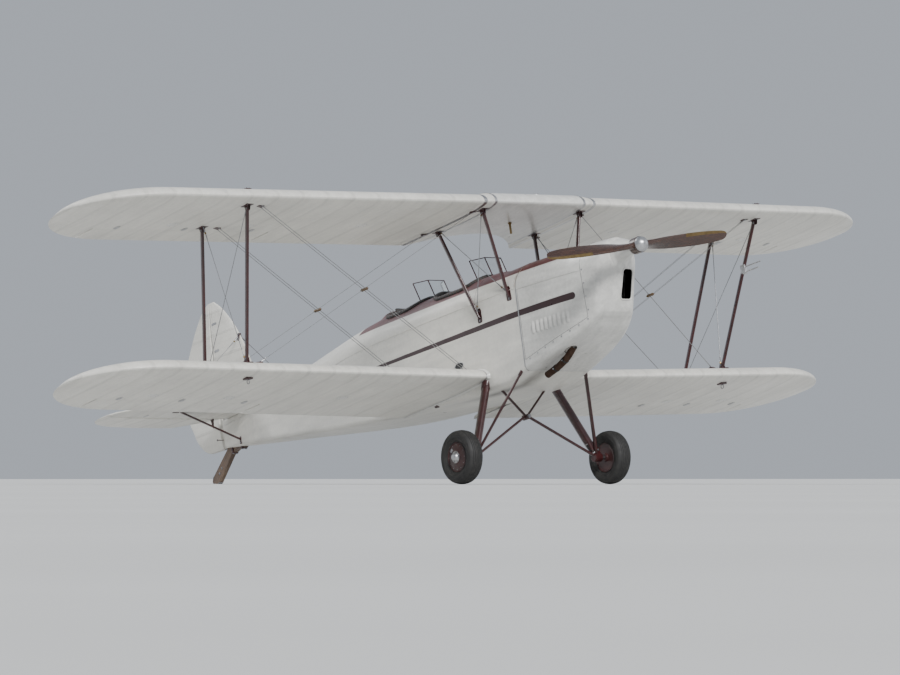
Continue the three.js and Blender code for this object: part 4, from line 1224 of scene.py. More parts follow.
def build_tail():
    top, tip = FIN[-1][0], TAILPLANE[-1][0]
    fin = Kit((fixed_shape(VERTICAL, dense(FIN_FOOT, top, 0.035, 0.12)), "fin"))
    fin.piece("fin_skin", "doped_fabric", replaces=["fin"])
    foot = FIN[0][0]
    heel = foot + HEEL * np.linspace(0, 1, 14)[:-1] ** 2
    spans = np.concatenate([heel, dense(foot + HEEL, top, 0.03, 0.12)])
    rudder = Kit((moving_shape(VERTICAL, spans), "fin"))
    rudder.piece("rudder_skin", "doped_fabric", "rudder", ["rudder"])
    ahead = ELEVATOR_HINGE + ELEVATOR_NOSE + END_GAP + 0.004
    spans = [x for x in dense(0, tip, 0.035, 0.1) if curve(TAILPLANE, x)[0] > ahead]
    spans = np.concatenate([-np.array(spans[:0:-1]), spans])
    plane = Kit((fixed_shape(HORIZONTAL, spans), "tail"))
    plane.piece("tailplane_skin", "doped_fabric", replaces=["tailplane"])
    spans = dense(NOTCH["half"] + NOTCH["slope"] * (NOTCH["ahead"] + 0.012), tip, 0.025, 0.1)
    ends = ELEVATOR_HINGE + NOTCH["ahead"] - (spans - NOTCH["half"]) / NOTCH["slope"]
    half = moving_shape(HORIZONTAL, spans, ends)
    elevator = Kit()
    for side in (1, -1):
        elevator.add(moved(half, lambda points: on_side(points, side)), "tail")
    ends = [(x, ELEVATOR_HINGE, TAILPLANE_HEIGHT) for x in np.array((-1, 0, 1)) * TORQUE_TUBE["half"]]
    elevator.rod(ends, TORQUE_TUBE["radius"], 20, "strut")
    elevator.piece("elevator_skin", "doped_fabric", "elevator", ["elevator"])


# Struts and wires: their ends on the port side. Sections are chord and thickness.

CABANES = {"front": ((0.525, 0.365, 2.110), (0.356, 0.363, 1.318)),
           "rear": ((0.525, -0.310, 2.085), (0.364, -0.070, 1.225))}
CABANE_SECTION = (0.044, 0.020)
INTERPLANES = {"front": ((2.715, 0.058, 2.180), (2.535, -0.496, 0.850)),
               "rear": ((2.732, -0.609, 2.130), (2.553, -1.102, 0.820))}
INTERPLANE_SECTION = (0.048, 0.020)
STAYS = {
    "flying_wire_front": ((0.400, -0.190, 0.735), (2.660, 0.062, 2.175)),
    "flying_wire_rear": ((0.400, -0.835, 0.655), (2.672, -0.590, 2.150)),
    "landing_wire_front": ((0.470, 0.350, 2.125), (2.478, -0.488, 0.870)),
    "landing_wire_rear": ((0.470, -0.330, 2.110), (2.549, -1.106, 0.830)),
}
# Bracing wires that are only seen: strut to strut, and the last one fin to tailplane.
BRACES = [
    ((2.715, 0.058, 2.150), (2.556, -1.090, 0.870)), ((2.730, -0.600, 2.110), (2.538, -0.488, 0.900)),
    ((0.523, 0.362, 2.080), (0.372, -0.085, 1.270)), ((0.521, -0.300, 2.060), (0.362, 0.350, 1.360)),
    ((0.016, -4.115, 2.000), (0.760, -4.130, 1.356)),
]
PAIR_GAP = 0.036
WIRE_SECTION = (0.009, 0.0032)
TAIL_BRACE = ((0.060, -4.180, 1.060), (0.740, -4.190, 1.338))
TAIL_BRACE_SECTION = (0.036, 0.016)
# Shares of a strut's chord and thickness along it.
PLAIN = ((0.0, 1.0, 1.0), (1.0, 1.0, 1.0))
FERRULE = {"reach": 0.09, "narrow": 0.72, "thick": 1.05}


def streamline(sides):
    station = np.linspace(0, 1, sides + 1) ** 1.6
    half = curve(STREAMLINE, np.sqrt(station))[..., 0]
    along = 0.42 - station
    return np.concatenate([np.stack([along, half], -1), np.stack([along, -half], -1)[-1:0:-1]])


def strut(start, end, section, stations=PLAIN, sides=10):
    """A streamlined bar; stations give the place, and shares of the chord and the thickness."""
    start, end = np.asarray(start, float), np.asarray(end, float)
    along, across, _ = basis(end - start, F)
    shape = streamline(sides)
    return loft([start + (end - start) * share + shape[:, :1] * along * section[0] * chord
                 + shape[:, 1:] * across * section[1] * thickness
                 for share, chord, thickness in stations])


def ferruled(length):
    """Stations of a strut that narrows to its end fittings."""
    share = FERRULE["reach"] / length
    foot = [(0.0, FERRULE["narrow"], 1.0), (share * 0.45, FERRULE["narrow"], FERRULE["thick"]),
            (share, 1.0, 1.0)]
    return foot + [(0.5, 1.0, 1.0)] + [(1 - place, *shares) for place, *shares in foot[::-1]]


def build_struts():
    groups = (("cabane", CABANES, CABANE_SECTION), ("interplane", INTERPLANES, INTERPLANE_SECTION))
    for word, side in SIDES:
        for kind, table, section in groups:
            for place, ends in table.items():
                top, foot = on_side(ends, side)
                bar = strut(top, foot, section, ferruled(np.linalg.norm(top - foot)))
                Kit((bar, "strut")).piece(f"{kind}_strut_{place}_{word}", "strut_paint",
                                          replaces=[f"{kind}_{place}_{word}"])
        brace = Kit((strut(*on_side(TAIL_BRACE, side), TAIL_BRACE_SECTION), "strut"))
        brace.piece(f"tail_brace_{word}", "strut_paint", replaces=[f"tailplane_strut_{word}"])


def add_wire(kit, start, end):
    """A streamlined wire with a threaded terminal and a lock nut at both ends."""
    kit.add(strut(start, end, WIRE_SECTION, sides=4), "steel")
    axis = unit(end - start)
    for foot, way in ((start, axis), (end, -axis)):
        kit.rod(foot + np.outer((0.0, 0.045, 0.05, 0.11, 0.125, 0.17), way),
                (0.0068, 0.0068, 0.0048, 0.0048, 0.0034, 0.0022), 10, "steel")
        kit.rod(foot + np.outer((0.055, 0.058, 0.070, 0.073), way),
                (0.005, 0.0078, 0.0078, 0.005), 6, "brass")


def build_wires():
    for word, side in SIDES:
        for name, ends in STAYS.items():
            start, end = on_side(ends, side)
            offset = basis(end - start, F)[0] * PAIR_GAP / 2
            form, signs = ("pair", (1, -1)) if name.startswith("flying") else ("rod", (0,))
            kit = Kit()
            for sign in signs:
                add_wire(kit, start + sign * offset, end + sign * offset)
            kit.piece(f"{name}_{form}_{word}", "wire_steel", replaces=[f"{name}_{word}"])


# Fittings on wings and struts

SHOE = {"length": 0.10, "width": 0.034}
SHOE_LUG = [(-0.026, 0), (0.026, 0), (0.017, 0.034), (0.008, 0.042), (-0.008, 0.042), (-0.017, 0.034)]
WIRE_TAB = [(-0.03, -0.002), (0.030, -0.002), (0.030, 0.004), (0.016, 0.012), (-0.03, 0.004)]
HINGE_PAD = np.array([(-0.06, 0.012), (-0.03, 0.018), (0.010, 0.018), (0.018, 0.012),
                      (0.018, -0.012), (0.010, -0.018), (-0.03, -0.018), (-0.06, -0.012)])
HINGE_SHARES = (0.12, 0.5, 0.88)
# Inspection covers: span station, share of the chord.
COVERS = ((1.35, 0.52), (2.35, 0.60), (3.05, 0.60))
COVER = [(0.055, -0.002), (0.055, 0.0012), (0.050, 0.0022), (0.0, 0.0026)]
FILLER_CAP = [(0.045, -0.004), (0.045, 0.004), (0.038, 0.006), (0.034, 0.006), (0.034, 0.020),
              (0.030, 0.024), (0.0, 0.026)]
GAUGE = [(0.0, -0.10), (0.008, -0.10), (0.010, -0.096), (0.010, -0.02), (0.016, -0.012), (0.016, 0.0)]


def wing_spot(wing, x, forward, upper):
    """The point of a port wing's surface over or under a place in plan, and its normal."""
    nose = wing["nose"] - wing["sweep"] * (x - wing["root"])
    spots = []
    for step in (0.0, 0.01):
        along = (nose - forward + step) / math.cos(INCIDENCE)
        for _ in range(4):
            height = float(surfaces(wing, x, along)[0 if upper else 1])
            along = (nose - forward + step + height * math.sin(INCIDENCE)) / math.cos(INCIDENCE)
        spots.append(wing_points(wing, x, along, height))
    normal = np.cross((1, 0, wing["rise"]), spots[0] - spots[1])
    return spots[0], unit(normal) * (1 if upper else -1) * np.sign(normal[2])


def wing_axes(wing, spot, upper, hint=F):
    return basis(wing_spot(wing, spot[0], spot[1], upper)[1], hint)


def where_crossing(wing, start, end, upper):
    """Where the line from start to end passes through a wing's surface."""
    start, end = np.asarray(start, float), np.asarray(end, float)
    low, high = 0.0, 1.0
    for _ in range(24):
        middle = (low + high) / 2
        x, forward, up = start + (end - start) * middle
        beyond = (up - wing_spot(wing, x, forward, upper)[0][2]) * (1 if upper else -1) < 0
        low, high = (low, middle) if beyond else (middle, high)
    return start + (end - start) * low


def add_shoe(kit, point, axes):
    """A base plate on a surface with two lugs that hold a strut's end, its bolt and four screws."""
    first, second, up = axes
    length, width = SHOE["length"], SHOE["width"]
    kit.put(block((-length / 2, -width, -0.004), (length / 2, width, 0.003), 0.0025), point, axes, "strut")
    for side in (-1, 1):
        lug = prism(SHOE_LUG, 1, side * 0.0125 - 0.0015, side * 0.0125 + 0.0015)
        kit.put(lug, point, axes, "strut")
        kit.bolts((0.0065, 0.006), shifted(point, axes, (0, side * 0.014, 0.026)),
                  (first, up * -side, second * side))
    kit.rivets((0.005, 0.003), point, axes, [(a * length, b * width, 0.003)
                                             for a in (-0.38, 0.38) for b in (-0.7, 0.7)])


def add_wire_lug(kit, point, axes):
    """A bent plate that takes a wire's end; it stands on the surface in the wire's direction."""
    kit.put(prism(WIRE_TAB, 1, -0.018, 0.018), point, axes, "strut")
    kit.rivets((0.0045, 0.003), point, axes, [(-0.018, b, 0.004) for b in (-0.010, 0.010)])


def build_shoes():
    """Where struts and wires meet the wings."""
    for word, side in SIDES:
        kit = Kit()
        ends = []
        for top, foot in INTERPLANES.values():
            ends += [(LOWER, True, top, foot), (UPPER, False, foot, top)]
        ends += [(CENTRE, False, foot, top) for top, foot in CABANES.values()]
        for wing, over, start, end in ends:
            spot = where_crossing(wing, start, end, over)
            add_shoe(kit, spot, wing_axes(wing, spot, over))
        for name, (start, end) in STAYS.items():
            ends = [(UPPER, start, end, False)]
            if name.startswith("landing"):
                ends = [(LOWER, start, end, True), (CENTRE, end, start, False)]
            for wing, far, near, over in ends:
                spot = where_crossing(wing, far, near, over)
                hint = np.subtract(far, near)
                add_wire_lug(kit, spot, wing_axes(wing, spot, over, hint))
        kit.mirror(side).piece(f"wing_fittings_{word}", "strut_paint")


def proud_ring(wing, x, proud, shares, out=0.0):
    """A section raised from the surface and moved out along the span."""
    along = chord_places(wing, x, shares)
    top, under = surfaces(wing, x, along)
    heights = both_ways(top + proud, under - proud)
    along = both_ways(along, along)
    return wing_points(wing, x + out, along - proud * (1 - ramp(0.0, 0.02, along / CHORD)), heights)


def add_hinge_covers(kit, wing):
    rings = [np.insert(HINGE_PAD * scale, 2, up, axis=1)
             for scale, up in ((1, -0.002), (1, 0.003), ((0.86, 0.8), 0.006))]
    start, end = wing["aileron"]
    for share in HINGE_SHARES:
        x = start + (end - start) * share
        for over in (True, False):
            point = on_surface(wing, x, HINGE * CHORD - 0.052, over)
            axes = wing_axes(wing, point, over, -F)
            kit.put(loft(rings), point, axes, "alloy")
            kit.rivets((0.0035, 0.002), point, axes, [(a, 0, 0.0055) for a in (-0.044, 0.008)])


def build_wing_details():
    """Root strips, hinge covers, inspection covers and tie-down rings."""
    for place, wing in WINGS.items():
        for word, side in SIDES:
            kit = Kit()
            inner, outer = wing["root"] + 0.001, wing["root"] + 0.032
            strip = ((inner, 0.0), (inner, 0.0012), (outer, 0.0012), (outer, 0.0))
            kit.add(belt([proud_ring(wing, *edge, FRONT_SHARES) for edge in strip]), "alloy")
            add_hinge_covers(kit, wing)
            for x, share in COVERS:
                point = on_surface(wing, x, chord_places(wing, x, share), False)
                axes = wing_axes(wing, point, False)
                kit.put(revolve(COVER, ORIGIN, Z, 32), point, axes, "tank")
                kit.rivets((0.003, 0.002), point, axes, [(0.044 * math.cos(a), 0.044 * math.sin(a), 0.002)
                                                         for a in around(6)], sides=8)
            if place == "lower":
                add_tie_down(kit)
            kit.mirror(side).piece(f"wing_details_{place}_{word}", "alloy")


def add_tie_down(kit):
    """The flat pad under the front strut's foot and its ring."""
    x, forward = INTERPLANES["front"][1][:2]
    low = LOWER["spar"] + LOWER["rise"] * (x - LOWER["root"]) - 0.088
    kit.add(block((x - 0.032, forward - 0.032, low), (x + 0.032, forward + 0.032, low + 0.03), 0.004),
            "strut")
    ring = [(x, forward + 0.018 * math.cos(a), low - 0.018 + 0.018 * math.sin(a)) for a in around(24)]
    kit.rod(ring + ring[:1], 0.0035, 8, "steel")


def build_tank_details():
    """Straps over the joints of the tank, rivet rows, the filler cap and the contents gauge."""
    kit = Kit()
    for x in (-TANK["half"], TANK["half"]):
        inner, outer = centre_ring(x - 0.012), centre_ring(x + 0.012)
        middle = ((inner + outer) / 2).mean(axis=0)
        raised = [ring + unit((ring - middle) * (0, 1, 1)) * 0.0012 for ring in (inner, outer)]
        kit.add(belt([inner, *raised, outer]), "alloy")
        ring = centre_ring(x)
        for i in range(2, len(ring) - 2):
            if np.linalg.norm(ring[i + 1] - ring[i]) < 0.012:
                continue
            first, _, up = basis(np.cross(ring[i + 1] - ring[i - 1], X), X)
            up = up if up @ (ring[i] - middle) > 0 else -up
            for across in (-0.007, 0.007):
                kit.rivets((0.0025, 0.0016), ring[i] + across * X + up * 0.001,
                           (first, np.cross(up, first), up), key="alloy", sides=8)
    crown = centre_ring(0.0)
    _, forward, up = crown[np.argmax(crown[:, 2])]
    kit.turned(FILLER_CAP, (0.16, forward, up - 0.001), Z, 32, "alloy")
    kit.add(block((0.132, forward - 0.004, up + 0.022), (0.188, forward + 0.004, up + 0.031)), "alloy")
    _, forward, up = crown[np.argmin(crown[:, 2])]
    kit.turned(GAUGE, (0.0, forward + 0.10, up + 0.006), Z, 20, "brass")
    kit.piece("tank_fittings", "cowl_paint")


def crossing(first, second):
    """The middle of the shortest line between two wires."""
    a, b = np.array(first[0]), np.array(second[0])
    u, v = np.array(first[1]) - a, np.array(second[1]) - b
    s, t = np.linalg.lstsq(np.stack([u, -v], 1), b - a, rcond=None)[0]
    return (a + u * s + b + v * t) / 2


def build_braces():
    for word, side in SIDES:
        kit = Kit()
        for brace in BRACES:
            add_wire(kit, *on_side(brace, side))
        kit.piece(f"bracing_wires_{word}", "wire_steel")
        kit = Kit()
        for place in ("front", "rear"):
            spot = crossing(STAYS[f"flying_wire_{place}"], STAYS[f"landing_wire_{place}"])
            kit.rod(spot + np.outer((-0.055, -0.048, 0, 0.048, 0.055), F),
                    (0.004, 0.009, 0.013, 0.009, 0.004), 12, "ash")
            for shift in (-0.03, 0.0, 0.03):
                kit.rod([spot + (shift - 0.004) * F, spot + (shift + 0.004) * F], 0.0135, 12, "brass")
        kit.mirror(side).piece(f"wire_spreaders_{word}", "wire_steel")


def build_pitot():
    """Pressure and static tubes on the port front interplane strut."""
    top, foot = np.array(INTERPLANES["front"])
    spot = top + (foot - top) * 0.33
    kit = Kit()
    for shift, reach in ((0.0, 0.24), (-0.045, 0.20)):
        path = smooth_path(spot + shift * Z + np.outer((0, 0.05, 0.10, reach), F), 16)
        kit.rod(path, 0.0055, 12, "alloy")
    clip = spot + unit(foot - top) * 0.02
    kit.add(block(clip - (0.014, 0.026, 0.045), clip + (0.014, 0.032, 0.04), 0.004), "alloy")
    kit.piece("pitot_tubes", "alloy")


# Undercarriage

AXLE_X = 0.789
STUB_END = 0.039
STUB_RADIUS = 0.016
PYLON_APEX = np.array((0.0, -0.066, 0.365))
PYLON_FOOT = (0.268, -0.066, 0.640)
PYLON_SECTION = (0.034, 0.018)
APEX_PIN = ((-0.042, 0.019), (-0.038, 0.024), (0.038, 0.024), (0.042, 0.019))
# The boss on the stub axle: distance from the centre plane, radius.
BOSS = ((0.612, 0.033), (0.616, 0.038), (0.686, 0.038), (0.690, 0.033))
BOSS_INNER = (0.65, 0.0, 0.0)
AXLE_ROOT = (0.024, -0.066, 0.365)
AXLE_SECTION = (0.040, 0.022)
ROD_TOP = (0.325, 0.405, 0.690)
ROD_SECTION = (0.040, 0.020)
LEG_FOOT = (0.652, 0.0, 0.0)
LEG_TOP = (0.335, -0.110, 0.700)
LEG_SECTION = (0.104, 0.056)
LEG_STATIONS = ((0.045, 0.55, 0.9), (0.09, 0.62, 1.0), (0.14, 0.94, 1.0), (0.2, 1.0, 1.0),
                (0.6, 1.0, 1.0), (1.0, 1.0, 1.0))
LEG_EAR = [(-0.024, -0.01), (-0.014, 0.052), (0.014, 0.052), (0.024, -0.01)]
COLLAR = ((0.0, 1.04, 1.08), (0.1, 1.12, 1.25), (1.0, 1.2, 1.5))
# The tyre: grooves of the tread, offset and radius of the tread, radius and offset of the wall.
TREAD = {"pitch": 0.0165, "cut": -0.72, "depth": 0.0032, "edge": -0.047}
TYRE_TREAD = [(-0.076, 0.185), (-0.066, 0.208), (-0.040, 0.224), (0.0, 0.230)]
TYRE_WALL = [(0.122, -0.046), (0.128, -0.050), (0.132, -0.0545), (0.136, -0.0555), (0.140, -0.0550),
             (0.144, -0.0580), (0.150, -0.0620), (0.160, -0.0682), (0.164, -0.0718),
             (0.168, -0.0726), (0.174, -0.0736), (0.182, -0.0756)]
WHEEL = [(0.0, 0.088), (0.028, 0.086), (0.034, 0.078), (0.038, 0.070), (0.046, 0.066),
         (0.080, 0.059), (0.112, 0.052), (0.1215, 0.049), (0.1215, -0.049), (0.100, -0.046),
         (0.060, -0.038), (0.040, -0.034), (0.036, -0.050), (0.034, -0.062), (0.0168, -0.062),
         (0.0168, 0.03)]
HUB_CAP = [(0.052, 0.060), (0.052, 0.067), (0.049, 0.0695), (0.039, 0.0715), (0.036, 0.0755),
           (0.031, 0.0875), (0.024, 0.0925), (0.0, 0.0935)]
VALVE_COVER = [(0.018, 0.0), (0.018, 0.0022), (0.0, 0.0028)]
WHEEL_RIM = [(0.1195, 0.046), (0.1235, 0.0475), (0.1262, 0.0520), (0.1235, 0.0545), (0.1195, 0.0515),
             (0.1195, 0.046)]


def rod_of(table, axis):
    """Path and radii of a round bar through the origin from a table of place and radius."""
    return np.outer([place for place, _ in table], axis), [radius for _, radius in table]


def build_undercarriage():
    kit = Kit()
    pin, radii = rod_of(APEX_PIN, F)
    kit.rod(PYLON_APEX + pin, radii, 24, "strut")
    for _, side in SIDES:
        kit.add(strut(PYLON_APEX, on_side(PYLON_FOOT, side), PYLON_SECTION), "strut")
    kit.piece("gear_pylon", "strut_paint", replaces=["pylon"])
    for word, side in SIDES:
        kit = Kit()
        kit.rod(*rod_of(BOSS, side * X), 28, "strut")
        kit.rod(np.outer((0.62, AXLE_X + STUB_END), side * X), STUB_RADIUS, 20, "steel")
        inner = on_side(BOSS_INNER, side)
        kit.add(strut(inner, on_side(AXLE_ROOT, side), AXLE_SECTION), "strut")
        kit.add(strut(inner, on_side(ROD_TOP, side), ROD_SECTION), "strut")
        kit.piece(f"half_axle_{word}", "strut_paint", replaces=[f"axle_{word}"])
        leg = strut(on_side(LEG_FOOT, side), on_side(LEG_TOP, side), LEG_SECTION, LEG_STATIONS, 14)
        Kit((leg, "strut")).piece(f"shock_strut_{word}", "strut_paint", replaces=[f"shock_leg_{word}"])


def tyre_outline():
    """Radius and offset of a round-shouldered tyre with grooves round its tread."""
    offsets = np.linspace(-0.076, 0, 60)
    radii = curve(TYRE_TREAD, offsets)[:, 0]
    groove = np.cos(offsets / TREAD["pitch"] * FULL_TURN) < TREAD["cut"]
    radii -= TREAD["depth"] * groove * (offsets > TREAD["edge"])
    places = np.linspace(0.122, 0.182, 34)
    flank = [(0.118, -0.04), *zip(places, curve(TYRE_WALL, places)[:, 0])]
    side = flank + list(zip(radii, offsets))
    return side + [(radius, -offset) for radius, offset in side[-2::-1]]


def build_wheels():
    for word, side in SIDES:
        body = f"wheel_{word}"
        tyre = Kit((revolve(tyre_outline(), (side * AXLE_X, 0, 0), side * X, 96), "rubber"))
        tyre.piece(f"tyre_cover_{word}", "tyre_rubber", body, [f"tyre_{word}"], sharp=48)
        disc = Kit((revolve(WHEEL, (side * AXLE_X, 0, 0), side * X, 64), "wheel"))
        disc.piece(f"wheel_disc_{word}", "wheel_paint", body, [body])


def build_wheel_details():
    """Hub caps, rings of screws, valve covers and rims."""
    for word, side in SIDES:
        centre = np.array([side * AXLE_X, 0, 0])
        axes = (side * F, Z, side * X)
        kit = Kit()
        kit.turned(HUB_CAP, centre, axes[2], 40, "alloy")
        kit.bolts((0.0045, 0.004), centre, axes, [(0.044 * math.cos(a), 0.044 * math.sin(a), 0.0705)
                                                  for a in around(6)])
        kit.rivets((0.0038, 0.0024), centre, axes, [(0.106 * math.cos(a), 0.106 * math.sin(a), 0.0532)
                                                    for a in around(12, 0.13)])
        way = axes[0] * math.cos(0.9) + axes[1] * math.sin(0.9)
        kit.put(revolve(VALVE_COVER, ORIGIN, Z, 24), centre + way * 0.084 + axes[2] * 0.0584,
                basis(axes[2] + way * 0.22, way), "alloy")
        for axis in (axes[2], -axes[2]):
            kit.turned(WHEEL_RIM, centre, axis, 72, "wheel")
        kit.piece(f"wheel_fittings_{word}", "wheel_paint", f"wheel_{word}")


def build_gear_details():
    """Tubes, gaiters, forks and bolts of the legs, and their cuffs at the belly."""
    shells = [tree_of(name) for name in ("fuselage_shell", "cowl_shell")]
    for word, side in SIDES:
        inner, foot, leg_top, rod_top = on_side((BOSS_INNER, LEG_FOOT, LEG_TOP, ROD_TOP), side)
        axis = unit(leg_top - foot)
        kit = Kit()
        kit.rod(foot + np.outer((0.020, 0.05, 0.10, 0.16), axis), 0.019, 20, "steel")
        steps = np.linspace(0, 1, 27)
        radii = 0.026 + 0.004 * np.abs(np.sin(steps * math.pi * 6.5)) + 0.004 * steps
        kit.rod(foot + np.outer(0.052 + 0.085 * steps, axis), radii, 24, "black_leather")
        for place, radius in ((0.050, 0.031), (0.140, 0.033)):
            kit.rod(foot + np.outer((place - 0.004, place + 0.004), axis), radius, 24, "alloy")
        for forward in (-0.022, 0.022):
            ear = prism(LEG_EAR, 1, forward - 0.003, forward + 0.003)
            kit.put(ear, foot + 0.03 * Z, (X, F, Z), "strut")
        for way in (-1, 1):
            kit.bolts((0.008, 0.008), foot + (0, way * 0.026, 0.062), (X, -way * Z, way * F))
        for start, end, section in ((inner, rod_top, ROD_SECTION), (foot, leg_top, LEG_SECTION)):
            way = unit(end - start)
            hits = [cast(shell, end - way * 0.25, way)[0] for shell in shells]
            hit = min(hits, key=lambda point: np.linalg.norm(point - end))
            kit.add(strut(hit - way * 0.030, hit + way * 0.02, section, COLLAR), "strut")
        kit.piece(f"gear_fittings_{word}", "strut_paint")
    kit = Kit()
    for way in (-1, 1):
        kit.bolts((0.011, 0.010), PYLON_APEX + way * APEX_PIN[-1][0] * F, (X, -way * Z, way * F))
    kit.piece("gear_apex_bolts", "strut_paint")


SKID_TOUCH = np.array((-4.737, 0.776))
SKID_WIDTH = 0.044
TYRE_RADIUS = 0.23
# The spring's upper part, and a point towards which its leaf runs, as forward and up.
SPRING = [(-4.420, 0.985), (-4.320, 1.012), (-4.215, 1.006), (-4.215, 1.080), (-4.440, 1.080),
          (-4.484, 1.040)]
LEAF_HEAD = np.array((-4.44, 1.03))


def on_ground(*points):
    """Points given by distance from where the skid touches and height over the ground."""
    angle = math.atan2(SKID_TOUCH[1], -SKID_TOUCH[0])
    angle += math.asin(TYRE_RADIUS / math.hypot(*SKID_TOUCH))
    along = np.array((math.cos(angle), -math.sin(angle)))
    return [SKID_TOUCH + distance * along + height * np.array((-along[1], along[0]))
            for distance, height in points]


def build_skid():
    """A curved leaf with a steel shoe that lies flat on the ground."""
    outline = [*on_ground((-0.026, 0), (0.040, 0), (0.066, 0.016)), *SPRING,
               *on_ground((-0.026, 0.062), (-0.038, 0.018))]
    leaf = Kit((prism(outline, 0, -SKID_WIDTH / 2, SKID_WIDTH / 2), "skid"))
    leaf.piece("skid_spring", "skid_wood", replaces=["tail_skid"])
    kit = Kit()
    outer = on_ground((0.0625, 0.0105), (0.041, 0), (-0.0275, 0), (-0.0405, 0.018), (-0.0285, 0.063))
    inner = on_ground((0.062, 0.0135), (0.040, 0.0004), (-0.026, 0.0004), (-0.038, 0.018),
                      (-0.026, 0.062))
    half = SKID_WIDTH / 2 + 0.002
    kit.add(prism(outer + inner[::-1], 0, -half, half), "steel")
    for share in (0.30, 0.46):
        spot = SKID_TOUCH + (LEAF_HEAD - SKID_TOUCH) * share
        for side in (1, -1):
            kit.bolts((0.0075, 0.006), (side * SKID_WIDTH / 2, *spot), (F, side * Z, side * X))
    for forward, low in ((-4.25, 0.998), (-4.40, 0.986)):
        kit.add(block((-0.030, forward - 0.012, low), (0.030, forward + 0.012, low + 0.056)), "strut")
        for side in (1, -1):
            kit.bolts((0.006, 0.006), (side * 0.018, forward, low), (X, -F, -Z))
    kit.piece("skid_fittings", "strut_paint")


# Propeller: radius, chord, thickness and pitch of a blade.

BLADE = [(0.040, 0.080, 0.060, 68), (0.150, 0.100, 0.044, 55), (0.320, 0.116, 0.031, 40),
         (0.560, 0.118, 0.022, 29), (0.780, 0.104, 0.015, 23), (0.920, 0.078, 0.010, 19),
         (0.955, 0.056, 0.0075, 18.3), (0.970, 0.035, 0.006, 18), (0.975, 0.014, 0.005, 18)]
BLADE_ROOT, BLADE_SHOULDER, BLADE_TIP = 0.04, 0.9, 0.975
SHEATHED_FROM = 16
PROPELLER_FORWARD = 1.742
BLADE_ANGLE = math.radians(7)
HUB_HALF = 0.044
HUB = [(0.064, -HUB_HALF), (0.070, 0.008 - HUB_HALF), (0.070, HUB_HALF - 0.008), (0.064, HUB_HALF)]
SPINNER_SEAT = HUB_HALF + 0.0004
SPINNER = [(0.03, 0.0), (0.066, 0.0), (0.060, 0.022), (0.044, 0.042), (0.022, 0.056), (0.0, 0.062)]
FRONT_PLATE = [(0.030, 0.0), (0.0665, -0.002), (0.0665, 0.003), (0.060, 0.005), (0.030, 0.005)]
BACK_PLATE = [(0.024, 0.0), (0.066, 0.002), (0.066, -0.006), (0.036, -0.008), (0.024, -0.008)]


def blade_rings(hand):
    """Sections from the hub to the tip; a blade seen from ahead turns about the shaft."""
    shape = streamline(12)
    crowded = (BLADE_TIP - BLADE_SHOULDER) * (1 - np.linspace(0, 1, 13)[1:]) ** 2
    places = np.concatenate([np.linspace(BLADE_ROOT, BLADE_SHOULDER, 30), BLADE_TIP - crowded])
    rings = []
    for radius, (chord, thickness, pitch) in zip(places, curve(BLADE, places)):
        angle = hand * math.radians(pitch)
        along = np.array([0, math.sin(angle), math.cos(angle)]) * hand
        across = np.cross([hand, 0, 0], along)
        rings.append(hand * radius * X + shape[:, :1] * along * chord
                     + shape[:, 1:] * across * thickness)
    return np.array(rings)


def about_shaft(points):
    """Turns hub coordinates, with a blade along x, to the place and angle of the propeller."""
    c, s = math.cos(BLADE_ANGLE), math.sin(BLADE_ANGLE)
    x, f, z = np.moveaxis(np.asarray(points, float), -1, 0)
    return np.stack([c * x - s * z, f + PROPELLER_FORWARD, s * x + c * z + SHAFT_HEIGHT], -1)


def build_propeller():
    kit = Kit(*((loft(blade_rings(hand)), "blade") for hand in (1, -1)))
    kit.turned(HUB, ORIGIN, F, 48, "blade")
    kit.turn(about_shaft).piece("propeller_blades", "propeller_wood", "propeller", ["propeller"])
    kit = Kit((revolve(SPINNER, SPINNER_SEAT * F, F, 48), "alloy"))
    kit.turn(about_shaft).piece("spinner_cap", "alloy", "propeller", ["spinner"])


def build_propeller_details():
    """Metal sheathing along the leading edges and tips, the hub's plates and its bolts."""
    kit = Kit()
    for hand in (1, -1):
        sections = blade_rings(hand)[SHEATHED_FROM:]
        middle = sections.mean(axis=1, keepdims=True)
        strip = sections[:, np.arange(-5, 6)]
        strip = strip + unit(strip - middle) * 0.0007
        kit.add(plated(strip, 0.0012), "brass")
        for i in range(1, len(strip) - 1, 2):
            for end, next_in in ((0, 1), (-1, -2)):
                edge = strip[i, next_in] - strip[i, end]
                spot = strip[i, end] + edge * 0.35
                run = strip[i + 1, end] - strip[i - 1, end]
                normal = np.cross(run, edge)
                normal *= np.sign(normal @ (spot - middle[i, 0]))
                kit.rivets((0.0022, 0.0011), spot, basis(normal, run), key="brass", sides=8)
    kit.turn(about_shaft).piece("propeller_sheathing", "propeller_wood", "propeller")
    kit = Kit()
    kit.turned(FRONT_PLATE, HUB_HALF * F, F, 48, "steel")
    kit.bolts((0.0055, 0.007), (HUB_HALF + 0.005) * F, (X, -Z, F),
              [(0.052 * math.cos(a), -0.052 * math.sin(a), 0) for a in around(8, 0.2)])
    kit.turned(BACK_PLATE, -HUB_HALF * F, F, 40, "steel")
    kit.turn(about_shaft).piece("propeller_hub_plates", "alloy", "propeller")


# Cockpits

WINDSCREEN_PLAN = [(-0.150, -0.095), (-0.085, 0.040), (0.085, 0.040), (0.150, -0.095)]
WINDSCREEN = {"thickness": 0.005, "lean": 0.45, "low": 1.54, "high": 1.806, "ahead": 0.07}
PANEL = {"ahead": 0.06, "half": 0.005}
SEAT = {"half": 0.205, "cheek": 0.016, "depth": 0.36, "pan": (0.93, 0.95), "back": 1.44}
SEAT_CORNER = 0.09
